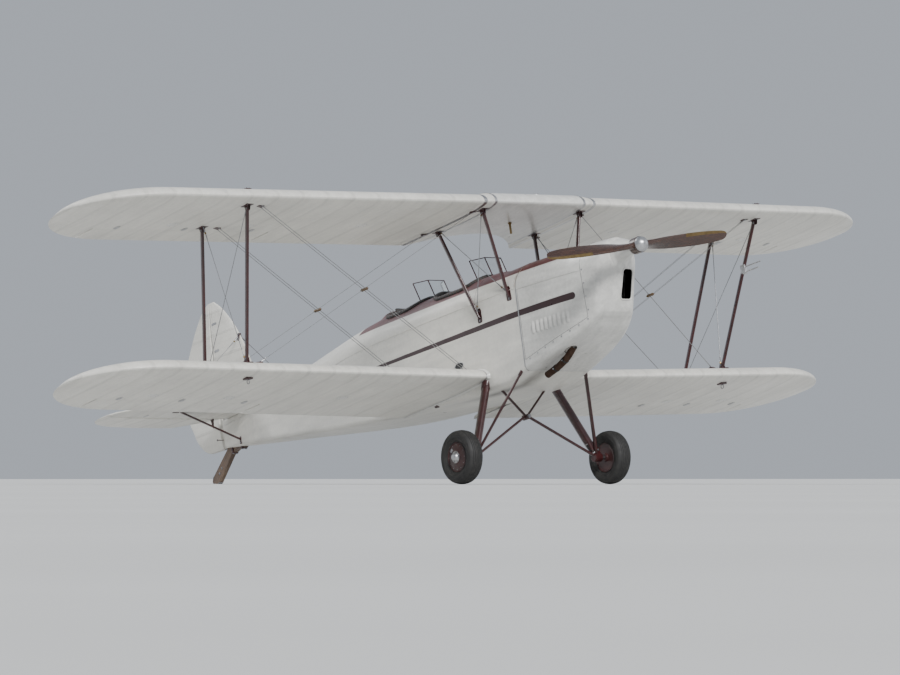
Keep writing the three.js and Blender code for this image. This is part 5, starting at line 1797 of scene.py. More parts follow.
# Forward and height of the floor boards.
FLOOR = [(0.30, 0.640), (-1.0, 0.680), (-1.80, 0.730)]
FLOOR_HALF = 0.30
RAIL_HEIGHTS = (0.86, 1.10, 1.335)
UPRIGHTS = (0.12, -0.20, -0.55, -0.90, -1.22, -1.62, -1.88)
STICK = {"foot": (0.19, 0.66), "grip": (0.15, 1.21), "split": 32}
STICK_RADII = [(0, 0.012), (0.80, 0.011), (0.81, 0.0145), (0.83, 0.0135), (0.97, 0.0150),
               (0.985, 0.0155), (1.0, 0.008)]
RUDDER_BARS = {"front": 0.06, "rear": -0.83}
BAR_HEIGHT = 0.80
BALL = [(0.0, -0.015), (0.010, -0.012), (0.015, 0.0), (0.010, 0.012), (0.0, 0.015)]
# Dials of a panel: distance from the middle, height, radius of the face, angle of the needle.
DIALS = [(-0.215, 1.455, 0.034, 210), (-0.118, 1.495, 0.044, 140), (0.0, 1.510, 0.044, 80),
         (0.118, 1.495, 0.044, 300), (0.215, 1.455, 0.034, 30), (-0.16, 1.375, 0.026, 250),
         (0.16, 1.375, 0.026, 320), (0.0, 1.395, 0.034, 0)]
DIAL_SCREW = [(0.0, 0.003), (0.003, 0.0025), (0.0035, 0.0)]
SWITCHES = (-0.075, -0.045, 0.045, 0.075)
SWITCH_COLLAR = [(0.0, 0.006), (0.006, 0.005), (0.008, 0.0)]
SIMULATED_FRAMES = 20
CUSHION = {"voxel": 0.006, "pressure": 4.0, "cap": 0.014, "channel": 0.009, "width": 0.008}
CHANNELS = (-0.105, -0.035, 0.035, 0.105)
HARNESS = {"width": 0.042, "thick": 0.0028, "lift": 0.002}
STRAP = [(-1, 0.25), (-0.94, 0.5), (0.94, 0.5), (1, 0.25), (1, -0.25), (0.94, -0.5), (-0.94, -0.5),
         (-1, -0.25)]
STRAP_TOP = 1.385
BUCKLE = [(0.016, 0.026, 0.003), (-0.016, 0.026, 0.003), (-0.016, -0.026, 0.003),
          (0.016, -0.026, 0.003)]
CLASP_KNOB = [(0.017, 0.014), (0.017, 0.019), (0.012, 0.022), (0.0, 0.0225)]


def lacing(path, radius, spacing=0.04, cord=0.0014):
    """Loops of cord round a closed padded rim, each a little slanted."""
    closed = np.concatenate([path, path[:1]])
    length = distances(closed)
    count = round(length[-1] / spacing)
    turn = around(16)[:, None]

    def at(place):
        return np.array([np.interp(place, length, closed[:, i]) for i in range(3)])

    for place in np.arange(count) * length[-1] / count:
        spot = at(place)
        across, through, along = basis(at((place + 0.01) % length[-1]) - spot, Z)
        ring = (spot + radius * (across * np.cos(turn) + through * np.sin(turn))
                + along * 0.006 * np.sin(turn))
        yield upright_hoop(ring, cord, 6)


def build_rims():
    for name in COCKPITS:
        outline = opening_outline(name, 9, grow=0.004)
        outline = outline[np.linalg.norm(outline - np.roll(outline, 1, axis=0), axis=1) > 1e-4]
        path = np.column_stack([outline, deck_height(outline[:, 0], outline[:, 1]) + 0.004])
        kit = Kit((hoop(path, 0.02, 16), "black_leather"))
        for lace in lacing(path, 0.0202):
            kit.add(lace, "leather")
        kit.piece(f"coaming_{name}", "seat_leather")


def windscreen_point(base, x, ahead, up):
    return np.array([x, base + ahead - WINDSCREEN["lean"] * (up - WINDSCREEN["low"]), up])


def windscreen_foot(base, x, ahead):
    up = WINDSCREEN["low"]
    for _ in range(12):
        up = float(deck_height(x, windscreen_point(base, x, ahead, up)[1]))
    return windscreen_point(base, x, ahead, up - 0.004)


def build_windscreens():
    """Three panes in a metal frame; their lower edges lie on the decking."""
    thickness, high = WINDSCREEN["thickness"], WINDSCREEN["high"]
    for name, (centre, half_length, _) in COCKPITS.items():
        base = centre + half_length + WINDSCREEN["ahead"]
        panes, edges = Kit(), Kit()
        for start, end in zip(WINDSCREEN_PLAN, WINDSCREEN_PLAN[1:]):
            back = unit((end[1] - start[1], start[0] - end[0], 0)) * thickness
            plan = np.linspace(start, end, 9)
            low = np.array([windscreen_foot(base, *spot) for spot in plan])
            top = np.array([windscreen_point(base, *spot, high) for spot in plan])
            panes.add(loft(np.stack([low, top, top + back, low + back], 1)), "glass")
            edges.rod(low + back / 2, 0.006, 8, "strut")
            edges.rod(top + back / 2, 0.0045, 8, "strut")
        for spot in WINDSCREEN_PLAN:
            path = np.linspace(windscreen_foot(base, *spot), windscreen_point(base, *spot, high), 4)
            edges.rod(path - thickness / 2 * F, 0.0055, 8, "strut")
        panes.piece(f"windscreen_panes_{name}", "windscreen_glass", replaces=[f"windscreen_{name}"])
        edges.piece(f"windscreen_frame_{name}", "strut_paint")


def seat_back(name):
    centre, half_length, _ = COCKPITS[name]
    return centre - half_length + 0.01


def floor_height(forward):
    places, heights = np.transpose(FLOOR)[:, ::-1]
    return float(np.interp(forward, places, heights))


def rounded_back(low):
    """Outline of a seat back in x and z from a height up, with round upper corners."""
    half, corner = SEAT["half"], SEAT_CORNER
    right = [(half - corner + corner * math.cos(a), SEAT["back"] - corner + corner * math.sin(a))
             for a in np.linspace(0, math.pi / 2, 8)]
    return [(half, low), *right, *((-x, z) for x, z in right[::-1]), (-half, low)]


def build_seats():
    half, depth, cheek = SEAT["half"], SEAT["depth"], SEAT["cheek"]
    low, high = SEAT["pan"]
    for name in COCKPITS:
        back = seat_back(name)
        kit = Kit((prism(rounded_back(low), 1, back + 0.003, back + 0.015), "ply"),
                  (block((-half, back + 0.003, low), (half, back + depth, high), 0.004), "ply"))
        under = floor_height(back) + 0.012
        arm = np.array([(0.003, under), (depth - 0.02, under), (depth, under + 0.04), (depth, 0.98),
                        (depth - 0.03, 1.03), (depth - 0.10, 1.055), (0.16, 1.075), (0.08, 1.12),
                        (0.03, 1.20), (0.003, 1.28)]) + (back, 0)
        rail = smooth_path(np.insert(arm[3:], 0, 0, axis=1), 30)
        for side in (1, -1):
            kit.add(prism(arm, 0, *sorted((side * (half - cheek), side * half))), "ply")
            kit.rod(rail + side * (half - cheek / 2) * X, 0.011, 10, "leather")
        edge = np.insert(np.array(rounded_back(1.28)), 1, back + 0.009, axis=1)
        kit.rod(smooth_path(edge, 60), 0.011, 10, "leather")
        kit.piece(f"seat_shell_{name}", "seat_leather", replaces=[f"seat_{name}"])


def mesh_points(mesh):
    points = np.empty(len(mesh.vertices) * 3)
    mesh.vertices.foreach_get("co", points)
    return points.reshape(-1, 3)


def settle(thing):
    """Blows a closed mesh up as cloth and moves no point further than the cap."""
    remesh = thing.modifiers.new("remesh", "REMESH")
    remesh.mode = "VOXEL"
    remesh.voxel_size = CUSHION["voxel"]
    apply_modifiers(thing)
    rest = mesh_points(thing.data)
    cloth = thing.modifiers.new("cloth", "CLOTH")
    cloth.settings.use_pressure = True
    cloth.settings.uniform_pressure_force = CUSHION["pressure"]
    cloth.settings.effector_weights.gravity = 0
    for number in range(1, SIMULATED_FRAMES + 1):
        bpy.context.scene.frame_set(number)
    depsgraph = bpy.context.evaluated_depsgraph_get()
    shift = mesh_points(thing.evaluated_get(depsgraph).data) - rest
    thing.modifiers.clear()
    bpy.context.scene.frame_set(1)
    reach = np.linalg.norm(shift, axis=1)
    shift *= np.minimum(1, CUSHION["cap"] / np.maximum(reach, 1e-9))[:, None]
    thing.data.vertices.foreach_set("co", (rest + shift).ravel())


def press_channels(thing, lines):
    """Sinks sewn lines into a cushion; lines are distances to port."""
    points = mesh_points(thing.data)
    thing.data.update()
    normals = np.array([vertex.normal[:] for vertex in thing.data.vertices])
    facing = 1 - np.abs(normals[:, 0])
    sink = sum(np.exp(-((points[:, 0] - line) / CUSHION["width"]) ** 2) for line in lines)
    points -= normals * (sink * CUSHION["channel"] * facing)[:, None]
    thing.data.vertices.foreach_set("co", points.ravel())
    thing.data.update()


def cushion(name, centre, size, channels=CHANNELS, key="leather"):
    """A leather pad: a soft block swollen by simulation, with sewn channels."""
    reach = np.array(size) / 2
    pad = block(centre - reach, centre + reach, min(size) * 0.3, 3)
    thing = Kit((pad, key)).piece(name, "seat_leather")
    settle(thing)
    thing.modifiers.new("round", "SUBSURF").levels = 1
    apply_modifiers(thing)
    press_channels(thing, channels)
    thing.data.shade_smooth()


def build_cushions():
    for name in COCKPITS:
        back = seat_back(name)
        cushion(f"seat_cushion_{name}", (0, back + 0.205, 0.992), (0.33, 0.27, 0.062))
        cushion(f"back_cushion_{name}", (0, back + 0.048, 1.235), (0.31, 0.046, 0.33))
    cushion("headrest_pad", (0, HEADREST[0][0] - 0.012, 1.636), (0.17, 0.026, 0.085), (),
            "black_leather")


def wall_x(forward):
    """Middle of the frame's rails inside the fuselage's flank."""
    return float(curve(FUSELAGE, forward)[0]) - SKIN - 0.013


def build_cockpit_inside():
    """Floor boards, longerons, uprights, rudder bars and throttle boxes."""
    kit = Kit()
    for edge in np.arange(-3, 3):
        x0, x1 = edge * FLOOR_HALF / 3 + 0.002, (edge + 1) * FLOOR_HALF / 3 - 0.002
        kit.add(loft([[(x0, f, z), (x1, f, z), (x1, f, z + 0.009), (x0, f, z + 0.009)]
                      for f, z in FLOOR]), "ply")
    for side in (1, -1):
        for height in RAIL_HEIGHTS:
            path = [(side * wall_x(f), f, height) for f in np.linspace(0.40, -1.93, 8)]
            kit.rod(path, 0.014, 4, "ash")
        for forward in UPRIGHTS:
            x = side * wall_x(forward)
            kit.add(block((x - 0.012, forward - 0.012, floor_height(forward)),
                          (x + 0.012, forward + 0.012, 1.33)), "ash")
    kit.piece("cockpit_structure", "skid_wood")
    for name, forward in RUDDER_BARS.items():
        build_rudder_bar(name, forward)
        build_throttle_box(name, COCKPITS[name][0] + 0.08)


def build_rudder_bar(name, forward):
    kit = Kit()
    kit.rod([(0, forward, up) for up in (floor_height(forward), BAR_HEIGHT - 0.01, BAR_HEIGHT + 0.02)],
            (0.016, 0.016, 0.022), 14, "dark")
    bar = [(-0.21, forward - 0.05, BAR_HEIGHT), (-0.10, forward, BAR_HEIGHT),
           (0.10, forward, BAR_HEIGHT), (0.21, forward - 0.05, BAR_HEIGHT)]
    kit.rod(smooth_path(bar, 24), 0.011, 12, "dark")
    for side in (1, -1):
        x = side * 0.17
        kit.add(block((x - 0.045, forward - 0.075, BAR_HEIGHT - 0.02),
                      (x + 0.045, forward - 0.045, BAR_HEIGHT + 0.05), 0.008), "rubber")
        strap_path = [(x + 0.05 * math.cos(a), forward - 0.055, BAR_HEIGHT + 0.045 + 0.05 * math.sin(a))
                      for a in np.linspace(0, math.pi, 12)]
        kit.rod(strap_path, 0.005, 8, "dark")
    kit.piece(f"rudder_bar_{name}", "stick_steel")


def build_throttle_box(name, forward):
    x = 0.36 - SKIN - 0.03
    kit = Kit((block((x - 0.010, forward - 0.07, 1.20), (x + 0.010, forward + 0.07, 1.29), 0.006), "dark"))
    for shift, tilt, knob in ((0.006, 0.05, "maroon"), (-0.007, 0.02, "brass")):
        top = (x - 0.02 + shift, forward + tilt, 1.37)
        kit.rod([(x - 0.02 + shift, forward, 1.25), top], 0.005, 8, "steel")
        kit.turned(BALL, top, Z, 16, knob)
    kit.rod([(x, forward + 0.05, 1.23), (x, forward + 0.45, 1.23)], 0.004, 8, "steel")
    kit.piece(f"throttle_box_{name}", "panel_paint")


def build_sticks():
    shares = np.linspace(0, 1, 40)
    radii = np.interp(shares, *np.transpose(STICK_RADII))
    radii += np.where((shares > 0.83) & (shares < 0.97), 0.0008 * np.cos(shares * 400), 0)
    split = STICK["split"]
    for name, (centre, _, _) in COCKPITS.items():
        foot, grip = (np.array([0, centre + ahead, up]) for ahead, up in (STICK["foot"], STICK["grip"]))
        path = foot + np.outer(shares, grip - foot)
        kit = Kit()
        kit.rod(path[:split + 1], radii[:split + 1], 14, "steel")
        kit.rod(path[split:], radii[split:], 14, "rubber")
        folds = np.arange(14)
        boot = 0.048 - 0.034 * folds / 13 + 0.003 * np.cos(folds * math.pi)
        kit.rod(foot + np.outer(np.linspace(0.0, 0.13, 14), grip - foot), boot, 20, "black_leather")
        kit.piece(f"stick_column_{name}", "stick_steel", replaces=[f"stick_{name}"])


def clock(angle):
    """A direction across the aircraft at an angle from straight up, towards port."""
    return np.array([math.sin(angle), 0, math.cos(angle)])


def build_dials():
    for name, (centre, half_length, _) in COCKPITS.items():
        face = centre + half_length + PANEL["ahead"] - PANEL["half"]
        kit = Kit()
        for x, up, radius, needle in DIALS:
            spot = np.array([x, face, up])
            bezel = [(0.0, 0.004), (radius - 0.002, 0.004), (radius - 0.002, 0.010),
                     (radius + 0.002, 0.012), (radius + 0.006, 0.009), (radius + 0.007, 0.0)]
            kit.turned(bezel, spot, -F, 36, "dark")
            for tick in range(12):
                wide, start = (0.0012, 0.72) if tick % 3 else (0.002, 0.62)
                way = clock(tick * math.pi / 6) * radius
                kit.rod(spot - 0.0042 * F + np.outer((start, 0.88), way), wide, 4, "mark")
            way = clock(math.radians(needle)) * radius
            kit.rod(spot - 0.0055 * F + np.outer((-0.2, 0.72), way), (0.0016, 0.0006), 4, "mark")
            for angle in around(4, math.pi / 4):
                screw = spot + clock(math.pi / 2 - angle) * (radius + 0.011)
                kit.turned(DIAL_SCREW, screw, -F, 8, "brass")
        for x in SWITCHES:
            spot = np.array([x, face, 1.335])
            kit.turned(SWITCH_COLLAR, spot, -F, 12, "alloy")
            kit.rod([spot - (0, 0.004, 0), spot - (0, 0.020, -0.008)], (0.002, 0.0035), 8, "alloy")
        kit.piece(f"dials_{name}", "panel_paint")


def strap(path, facing):
    """A flat band of webbing along a path; facing points out of its face at each point."""
    path = np.asarray(path, float)
    tangent = unit(np.gradient(path, axis=0))
    facing = unit(facing - tangent * (facing * tangent).sum(axis=1)[:, None])
    side = np.cross(tangent, facing)
    return loft(np.stack([path + side * a * HARNESS["width"] / 2 + facing * b * HARNESS["thick"]
                          for a, b in STRAP], 1))


def add_shoulder_strap(kit, side, back, cushions):
    """Over the seat's back and down its cushion to the buckle's place on the seat."""
    spots = [((side * (0.075 - 0.03 * (STRAP_TOP - up) / 0.3), back + 0.3, up), -F, cushions[0])
             for up in np.linspace(STRAP_TOP, 1.08, 16)]
    spots += [((side * 0.04, ahead, 1.3), -Z, cushions[1])
              for ahead in np.linspace(back + 0.10, back + 0.17, 5)]
    points = [(side * 0.078, back + 0.002, SEAT["back"] - 0.010),
              (side * 0.078, back + 0.034, SEAT["back"] + 0.008)]
    facings = [(0, -0.5, 1), (0, 0.5, 1)]
    for start, way, pad in spots:
        hit, normal = cast(pad, start, way)
        points.append(hit + normal * HARNESS["lift"])
        facings.append(normal)
    fine = smooth_path(points, 60)
    shares = np.linspace(0, 1, len(facings))
    facing = np.stack([np.interp(np.linspace(0, 1, 60), shares, column)
                       for column in np.transpose(facings)], -1)
    kit.add(strap(fine, facing), "webbing")
    kit.put(hoop(BUCKLE, 0.0022, 8), fine[24], basis(facing[24], fine[26] - fine[24]), "steel")


def add_lap_belt(kit, side, back, seat):
    points, facings = [], []
    for share in np.linspace(0, 1, 14):
        x, ahead = side * (0.19 - 0.15 * share), back + 0.12 + 0.06 * share
        if share < 0.12:
            points.append((x, ahead - 0.02, 1.035))
            facings.append((-side * 0.4, 0, 1))
        else:
            hit, normal = cast(seat, (x, ahead, 1.3), -Z)
            points.append(hit + normal * (HARNESS["lift"] + 0.003))
            facings.append(normal)
    kit.add(strap(points, np.array(facings)), "webbing")


def build_harness():
    """Two shoulder straps and a lap belt lying on each seat, with buckles."""
    for name in COCKPITS:
        back = seat_back(name)
        cushions = [tree_of(f"{kind}_cushion_{name}") for kind in ("back", "seat")]
        kit = Kit()
        for side in (1, -1):
            add_shoulder_strap(kit, side, back, cushions)
            add_lap_belt(kit, side, back, cushions[1])
        hit, normal = cast(cushions[1], (0, back + 0.18, 1.3), -Z)
        axes = basis(normal, F)
        kit.put(block((-0.026, -0.034, 0.004), (0.026, 0.034, 0.015), 0.004), hit, axes, "steel")
        kit.put(revolve(CLASP_KNOB, ORIGIN, Z, 24), hit, axes, "brass")
        kit.piece(f"harness_{name}", "seat_leather")


# Engine, exhaust and what shows through the intake

EXHAUST = [(-0.150, 0.900, 0.760), (-0.165, 0.820, 0.690), (-0.170, 0.700, 0.640),
           (-0.170, 0.520, 0.600)]
EXHAUST_RADIUS = 0.030
CLAMP = [(0.0306, -0.008), (0.0325, -0.008), (0.0325, 0.008), (0.0306, 0.008), (0.0306, -0.008)]
# Steps of the pipe's route that carry clamps, and places of the cylinders.
CLAMPED = (9, 17)
CYLINDERS = (1.125, 0.925, 0.725)
CYLINDER_RADIUS = 0.098


def build_engine():
    route = smooth_path(EXHAUST, 26)
    kit = Kit(*walled(tube_rings(route, EXHAUST_RADIUS, 28), 0.002, "rust", "iron"))
    for step in CLAMPED:
        spot, along = route[step], unit(route[step + 1] - route[step])
        kit.turned(CLAMP, spot, along, 28, "iron")
        axes = basis(along, -X)
        kit.put(block((0.030, -0.006, -0.007), (0.046, 0.006, 0.007), 0.002), spot, axes, "iron")
        kit.bolts((0.0045, 0.005), shifted(spot, axes, (0.040, 0.006, 0)), (axes[0], -axes[2], axes[1]))
    kit.piece("exhaust_pipe", "exhaust_iron", replaces=["exhaust"])
    fins = [(CYLINDER_RADIUS - inset, up + rise) for up in 0.96 + 0.016 * np.arange(24)
            for inset, rise in ((0.018, 0), (0, 0.002), (0, 0.005), (0.018, 0.007))]
    kit = Kit(*((revolve(fins, (0, forward, 0), Z, 40), "iron") for forward in CYLINDERS))
    kit.piece("cylinder_fins", "engine_alloy")
    rings = [[(x, forward + NOSE_LEAN * (up - LEAN_DATUM), up) for x, up in INTAKE]
             for forward in (1.31, 1.25)]
    Kit(*walled(rings, -0.004, "alloy", "alloy")).piece("intake_duct", "cowl_paint")


def dress_frame_nodes():
    """Finishes for the CAD solids that stay in sight."""
    for name, key in (("firewall", "alloy"), ("engine", "iron"), ("instrument_panel_front", "dark"),
                      ("instrument_panel_rear", "dark")):
        node = frame["nodes"][name]
        node.data.materials.clear()
        node.data.materials.append(MATERIALS[key])


# Details of the body, laid on the surfaces that carry them by rays from outside

# Where rays start, as a distance from the centre plane, and the height they run towards.
OUTSIDE = 0.8
BODY_MIDDLE = 1.2
SEAM_RADIUS = 0.0016
# Fore and aft edges of the cowl's side panels.
PANEL_EDGES = (0.478, 1.24)
FASTENER = [(0.0085, -0.001), (0.0085, 0.001), (0.0065, 0.0022), (0.0, 0.0024)]
# Sections of a louvre: along, out where it is flush, and how much further where it is open.
LOUVRE = ((0.011, -0.001, 0), (0.006, 0, 0.004), (-0.002, 0, 0.0085), (-0.011, 0, 0.0115),
          (-0.0105, -0.001, 0.0095), (-0.008, -0.001, 0))
LOUVRE_HALF = 0.055
# Footholds in the sides: forward, height.
FOOTHOLDS = ((-0.443, 0.891), (-1.30, 0.93))
CABANE_PAD = [(-0.055, -0.022), (-0.045, -0.032), (0.050, -0.028), (0.068, -0.018),
              (0.068, 0.018), (0.050, 0.028), (-0.045, 0.032), (-0.055, 0.022)]
WIRE_PLATE = [(-0.05, -0.026), (0.02, -0.026), (0.034, -0.018), (0.034, 0.018), (0.02, 0.026),
              (-0.05, 0.026)]
TAIL_PAD = [(-0.030, -0.010), (0.038, -0.010), (0.045, 0.0), (0.038, 0.010), (-0.030, 0.010)]
BRACE_PAD = [(-0.034, -0.013), (0.022, -0.013), (0.034, -0.006), (0.034, 0.006), (0.022, 0.013),
             (-0.034, 0.013)]
RUDDER_HORN = [(-0.002, 0.020), (0.022, 0.020), (0.020, 0.085), (0.010, 0.095), (0.0, 0.085)]
ELEVATOR_HORN = np.array([(-0.030, 0.022), (0.020, 0.022), (0.008, 0.105), (-0.006, 0.112)])


def plate(outline, low=-0.002, high=0.003):
    """A flat plate on the plane z = 0."""
    return prism(outline, 2, low, high)


def laid(tree, points, direction, lift):
    """A path cast onto a surface and raised from it."""
    spots = [cast(tree, point, direction) for point in points]
    return np.array([spot + normal * lift for spot, normal in spots])


def over_body(tree, forward, reach, half_angle):
    """A line over the top of the body, found by rays towards its middle."""
    middle = np.array((0, forward, BODY_MIDDLE))
    ways = [clock(angle) for angle in np.linspace(-half_angle, half_angle, 30)]
    return [cast(tree, middle + way * reach, -way)[0] for way in ways]


def add_seam(kit, tree, points, direction, fasteners=0.0):
    """A dark seam between two panels, with a row of round fasteners beside it."""
    path = laid(tree, points, direction, -0.0004)
    kit.rod(path, SEAM_RADIUS, 6, "dark")
    if not fasteners:
        return
    length = distances(path)
    for place in np.arange(fasteners / 2, length[-1], fasteners):
        i = np.searchsorted(length, place)
        run = path[i] - path[i - 1]
        spot = path[i - 1] + run * (place - length[i - 1]) / (length[i] - length[i - 1])
        hit, normal = cast(tree, spot - direction * 0.05, direction)
        axes = basis(normal, run)
        spot = hit + axes[1] * 0.016
        kit.put(revolve(FASTENER, ORIGIN, Z, 14), spot, axes, "alloy")
        kit.put(block((-0.0055, -0.0008, 0.0018), (0.0055, 0.0008, 0.0030), 0), spot, axes, "dark")


def louvre():
    """One pressed louvre: a half-round hood that opens aft."""
    return loft([[(along, up * LOUVRE_HALF, out + rise * math.sqrt(max(0.0, 1 - up ** 4)))
                  for along, out, rise in LOUVRE] for up in np.linspace(-1, 1, 15)])


def build_cowl_details():
    cowl = tree_of("cowl_shell")
    aft, front = PANEL_EDGES
    kit = Kit()
    for side in (1, -1):
        way, far = -side * X, side * OUTSIDE
        hinge = [(far, f, 1.352 - 0.02 * (f - 0.47)) for f in np.linspace(aft, front, 24)]
        add_seam(kit, cowl, hinge, way)
        low = [(far, f, float(curve(COWL, f)[1]) + 0.09) for f in np.linspace(aft, front, 24)]
        add_seam(kit, cowl, low, way, 0.105)
        for f, fasteners in ((aft, 0.0), (front, 0.115)):
            bottom = float(curve(COWL, f)[1]) + 0.09
            add_seam(kit, cowl, [(far, f, up) for up in np.linspace(bottom, 1.34, 20)], way, fasteners)
        kit.rod(laid(cowl, hinge, way, 0.001), 0.0032, 8, "tank")
        for step in range(9):
            hit, normal = cast(cowl, (far, 1.045 - step * 0.052, 0.985), way)
            first, second, out = basis(normal, F)
            kit.put(louvre(), hit, (first, second * np.sign(second[2]), out), "cowl")
    collar = hoop([(0.047 * math.cos(a), 0.060 * math.sin(a), 0.0) for a in around(28)], 0.003, 8)
    hit, normal = cast(cowl, (-0.158, 0.862, 0.3), Z)
    kit.put(collar, hit, basis(normal, X), "rust")
    kit.rod(over_body(cowl, front, OUTSIDE, 1.30), SEAM_RADIUS, 6, "dark")
    middle = (INTAKE.min(axis=0) + INTAKE.max(axis=0)) / 2
    lip = [cast(cowl, (x, 2.2, up), -F)[0] for x, up in INTAKE + 0.004 * np.sign(INTAKE - middle)]
    kit.add(upright_hoop(lip, 0.0065, 12), "cowl")
    kit.piece("cowl_fittings", "cowl_paint")


def build_body_details():
    """Seams, the edges of the decking, steps, and the plates at the cabane struts' feet."""
    shell, tail = tree_of("fuselage_shell"), tree_of("tail_cone")
    kit = Kit()
    for forward in (0.44, -0.11):
        kit.rod(over_body(shell, forward, 0.9, 1.15), 0.0014, 6, "dark")
    for side in (1, -1):
        way, far = -side * X, side * OUTSIDE
        for tree, start, end, count, lift, radius in ((shell, 0.44, -1.93, 60, 0.0006, 0.0034),
                                                      (tail, -1.96, -3.84, 50, 0.0004, 0.003)):
            rail = [(far, f, float(curve(FUSELAGE, f)[2]) + 0.006) for f in np.linspace(start, end, count)]
            kit.rod(laid(tree, rail, way, lift), radius, 8, "hull")
        for f in np.arange(0.38, -1.9, -0.13):
            hit, normal = cast(shell, (far, f, float(curve(FUSELAGE, f)[2]) - 0.012), way)
            kit.rivets((0.0035, 0.002), hit, basis(normal, F), key="alloy", sides=8)
    ring = np.array([(0.062 * math.cos(a), 0.030 * math.sin(a), 0.001) for a in around(32)])
    for side in (1, -1):
        for f, up in FOOTHOLDS:
            hit, normal = cast(shell, (side * OUTSIDE, f, up), -side * X)
            axes = basis(normal, F)
            kit.put(plate(ring[:, :2], -0.002, 0.0008), hit, axes, "dark")
            kit.put(hoop(ring, 0.004, 10), hit, axes, "alloy")
    for side in (1, -1):
        for _, (_, f, up) in CABANES.values():
            hit, normal = cast(shell, (side * OUTSIDE, f, up + 0.015), -side * X)
            axes = basis(normal, Z)
            kit.put(plate(CABANE_PAD), hit, axes, "strut")
            kit.bolts((0.007, 0.007), hit, axes, ((-0.038, 0, 0.003), (0.045, 0, 0.003)))
    kit.piece("fuselage_fittings", "doped_fabric")


def build_wing_roots():
    """Metal fillets between the lower wings and the fuselage, with the flying wires' plates."""
    fillet = belt([proud_ring(LOWER, LOWER["root"], grow, ROOT_SHARES, out)
                   for grow, out in ((0.010, -0.002), (0.004, 0.003), (0.0012, 0.012), (0.0, 0.024))])
    for word, side in SIDES:
        Kit((fillet, "tank")).mirror(side).piece(f"wing_root_fillet_{word}", "cowl_paint")
        kit = Kit()
        for place in ("front", "rear"):
            start, end = np.array(STAYS[f"flying_wire_{place}"])
            axis = unit(end - start)
            axes = basis(np.cross(axis, F), axis)
            spot = start - axis * 0.02
            kit.put(plate(WIRE_PLATE, -0.0025, 0.0025), spot, axes, "strut")
            kit.bolts((0.006, 0.006), spot, axes, [(0.016, b, 0.0025) for b in (-0.018, 0.018)])
        kit.mirror(side).piece(f"wing_wire_plates_{word}", "strut_paint")


def build_tail_hinges():
    """Plates beside the hinges of the rudder and the elevator."""
    kit = Kit()
    for up in (1.45, 1.70, 1.95, 2.20):
        half = half_at(FIN, up, RUDDER_HINGE + 0.03)
        for side in (1, -1):
            spot = (side * half, RUDDER_HINGE + 0.052, up)
            kit.put(plate(TAIL_PAD), spot, (F, side * Z, side * X), "alloy")
    for side in (1, -1):
        for x in (0.45, 0.95):
            half = half_at(TAILPLANE, x, ELEVATOR_HINGE + 0.03)
            for way in (1, -1):
                spot = (side * x, ELEVATOR_HINGE + 0.060, TAILPLANE_HEIGHT + way * half)
                kit.put(plate(TAIL_PAD), spot, (F, way * X, way * Z), "alloy")
    kit.piece("tail_hinge_plates", "alloy")


def build_tail_braces():
    """Plates and bolts where the tail's struts and wires end."""
    tail, fin, plane = (tree_of(name) for name in ("tail_cone", "fin_skin", "tailplane_skin"))
    kit = Kit()
    for side in (1, -1):
        foot, top = on_side(TAIL_BRACE, side)
        wire_top, wire_foot = on_side(BRACES[-1], side)
        way = -side * X
        for tree, spot, direction, hint, lift in (
                (tail, foot, way, top - foot, 0.05), (plane, top, Z, foot - top, 0.1),
                (fin, wire_top, way, wire_foot - wire_top, 0.05),
                (plane, wire_foot, -Z, wire_top - wire_foot, 0.1)):
            hit, normal = cast(tree, spot - direction * lift, direction)
            axes = basis(normal, hint)
            kit.put(plate(BRACE_PAD), hit, axes, "strut")
            kit.bolts((0.0045, 0.004), hit, axes, ((-0.022, 0, 0.003), (0.022, 0, 0.003)))
    kit.piece("tail_brace_plates", "strut_paint")


def build_horns():
    """The control horns of the rudder and the elevator, with the cables' eyes."""
    rudder, elevator = Kit(), Kit()
    for side in (1, -1):
        rudder.put(prism(RUDDER_HORN, 1, -0.002, 0.002), (0, RUDDER_HINGE - 0.02, 1.135),
                   (F, Z, side * X), "strut")
        eye = np.array((side * 0.085, RUDDER_HINGE - 0.01, 1.135))
        rudder.rod([eye - 0.009 * Z, eye + 0.009 * Z], 0.005, 10, "steel")
        for way in (1, -1):
            spar = np.array((side * 0.17, ELEVATOR_HINGE - 0.03, TAILPLANE_HEIGHT))
            elevator.put(prism(ELEVATOR_HORN * (1, way), 0, -0.002, 0.002), spar, (X, F, Z), "strut")
            eye = spar + (0, -0.001, way * 0.100)
            elevator.rod([eye - 0.008 * X, eye + 0.008 * X], 0.0045, 10, "steel")
    rudder.piece("rudder_horns", "strut_paint", "rudder")
    elevator.piece("elevator_horns", "strut_paint", "elevator")


def build_tail_fairing():
    """The sheet that closes the gap between decking, tailplane and fin."""
    angle = np.linspace(0, math.pi / 2, 13)
    rings = []
    for forward in np.linspace(-3.78, -4.46, 18):
        half, _, rail, crown = curve(FUSELAGE, forward)
        fin = max(0.010, half_at(FIN, 1.40, forward) if forward < -3.872 else 0.006)
        top = max(crown, 1.44 - 0.06 * ramp(-3.9, -3.78, forward))
        risen = ramp(-3.80, -4.0, forward)
        deck = np.stack([half * np.cos(angle), rail + 0.003 + (crown - rail) * np.sin(angle)])
        sheet = np.stack([fin + 0.002 + (half - fin) * (1 - np.sin(angle)),
                          rail + 0.004 + (top - rail) * (1 - np.cos(angle)) ** 0.9])
        x, up = deck + (sheet - deck) * risen
        x, up = np.concatenate([-x, x[::-1]]), np.concatenate([up, up[::-1]])
        rings.append(np.stack([x, np.full_like(x, forward), up], -1))
    Kit((plated(rings, 0.002), "tank")).piece("tail_fairing", "doped_fabric")


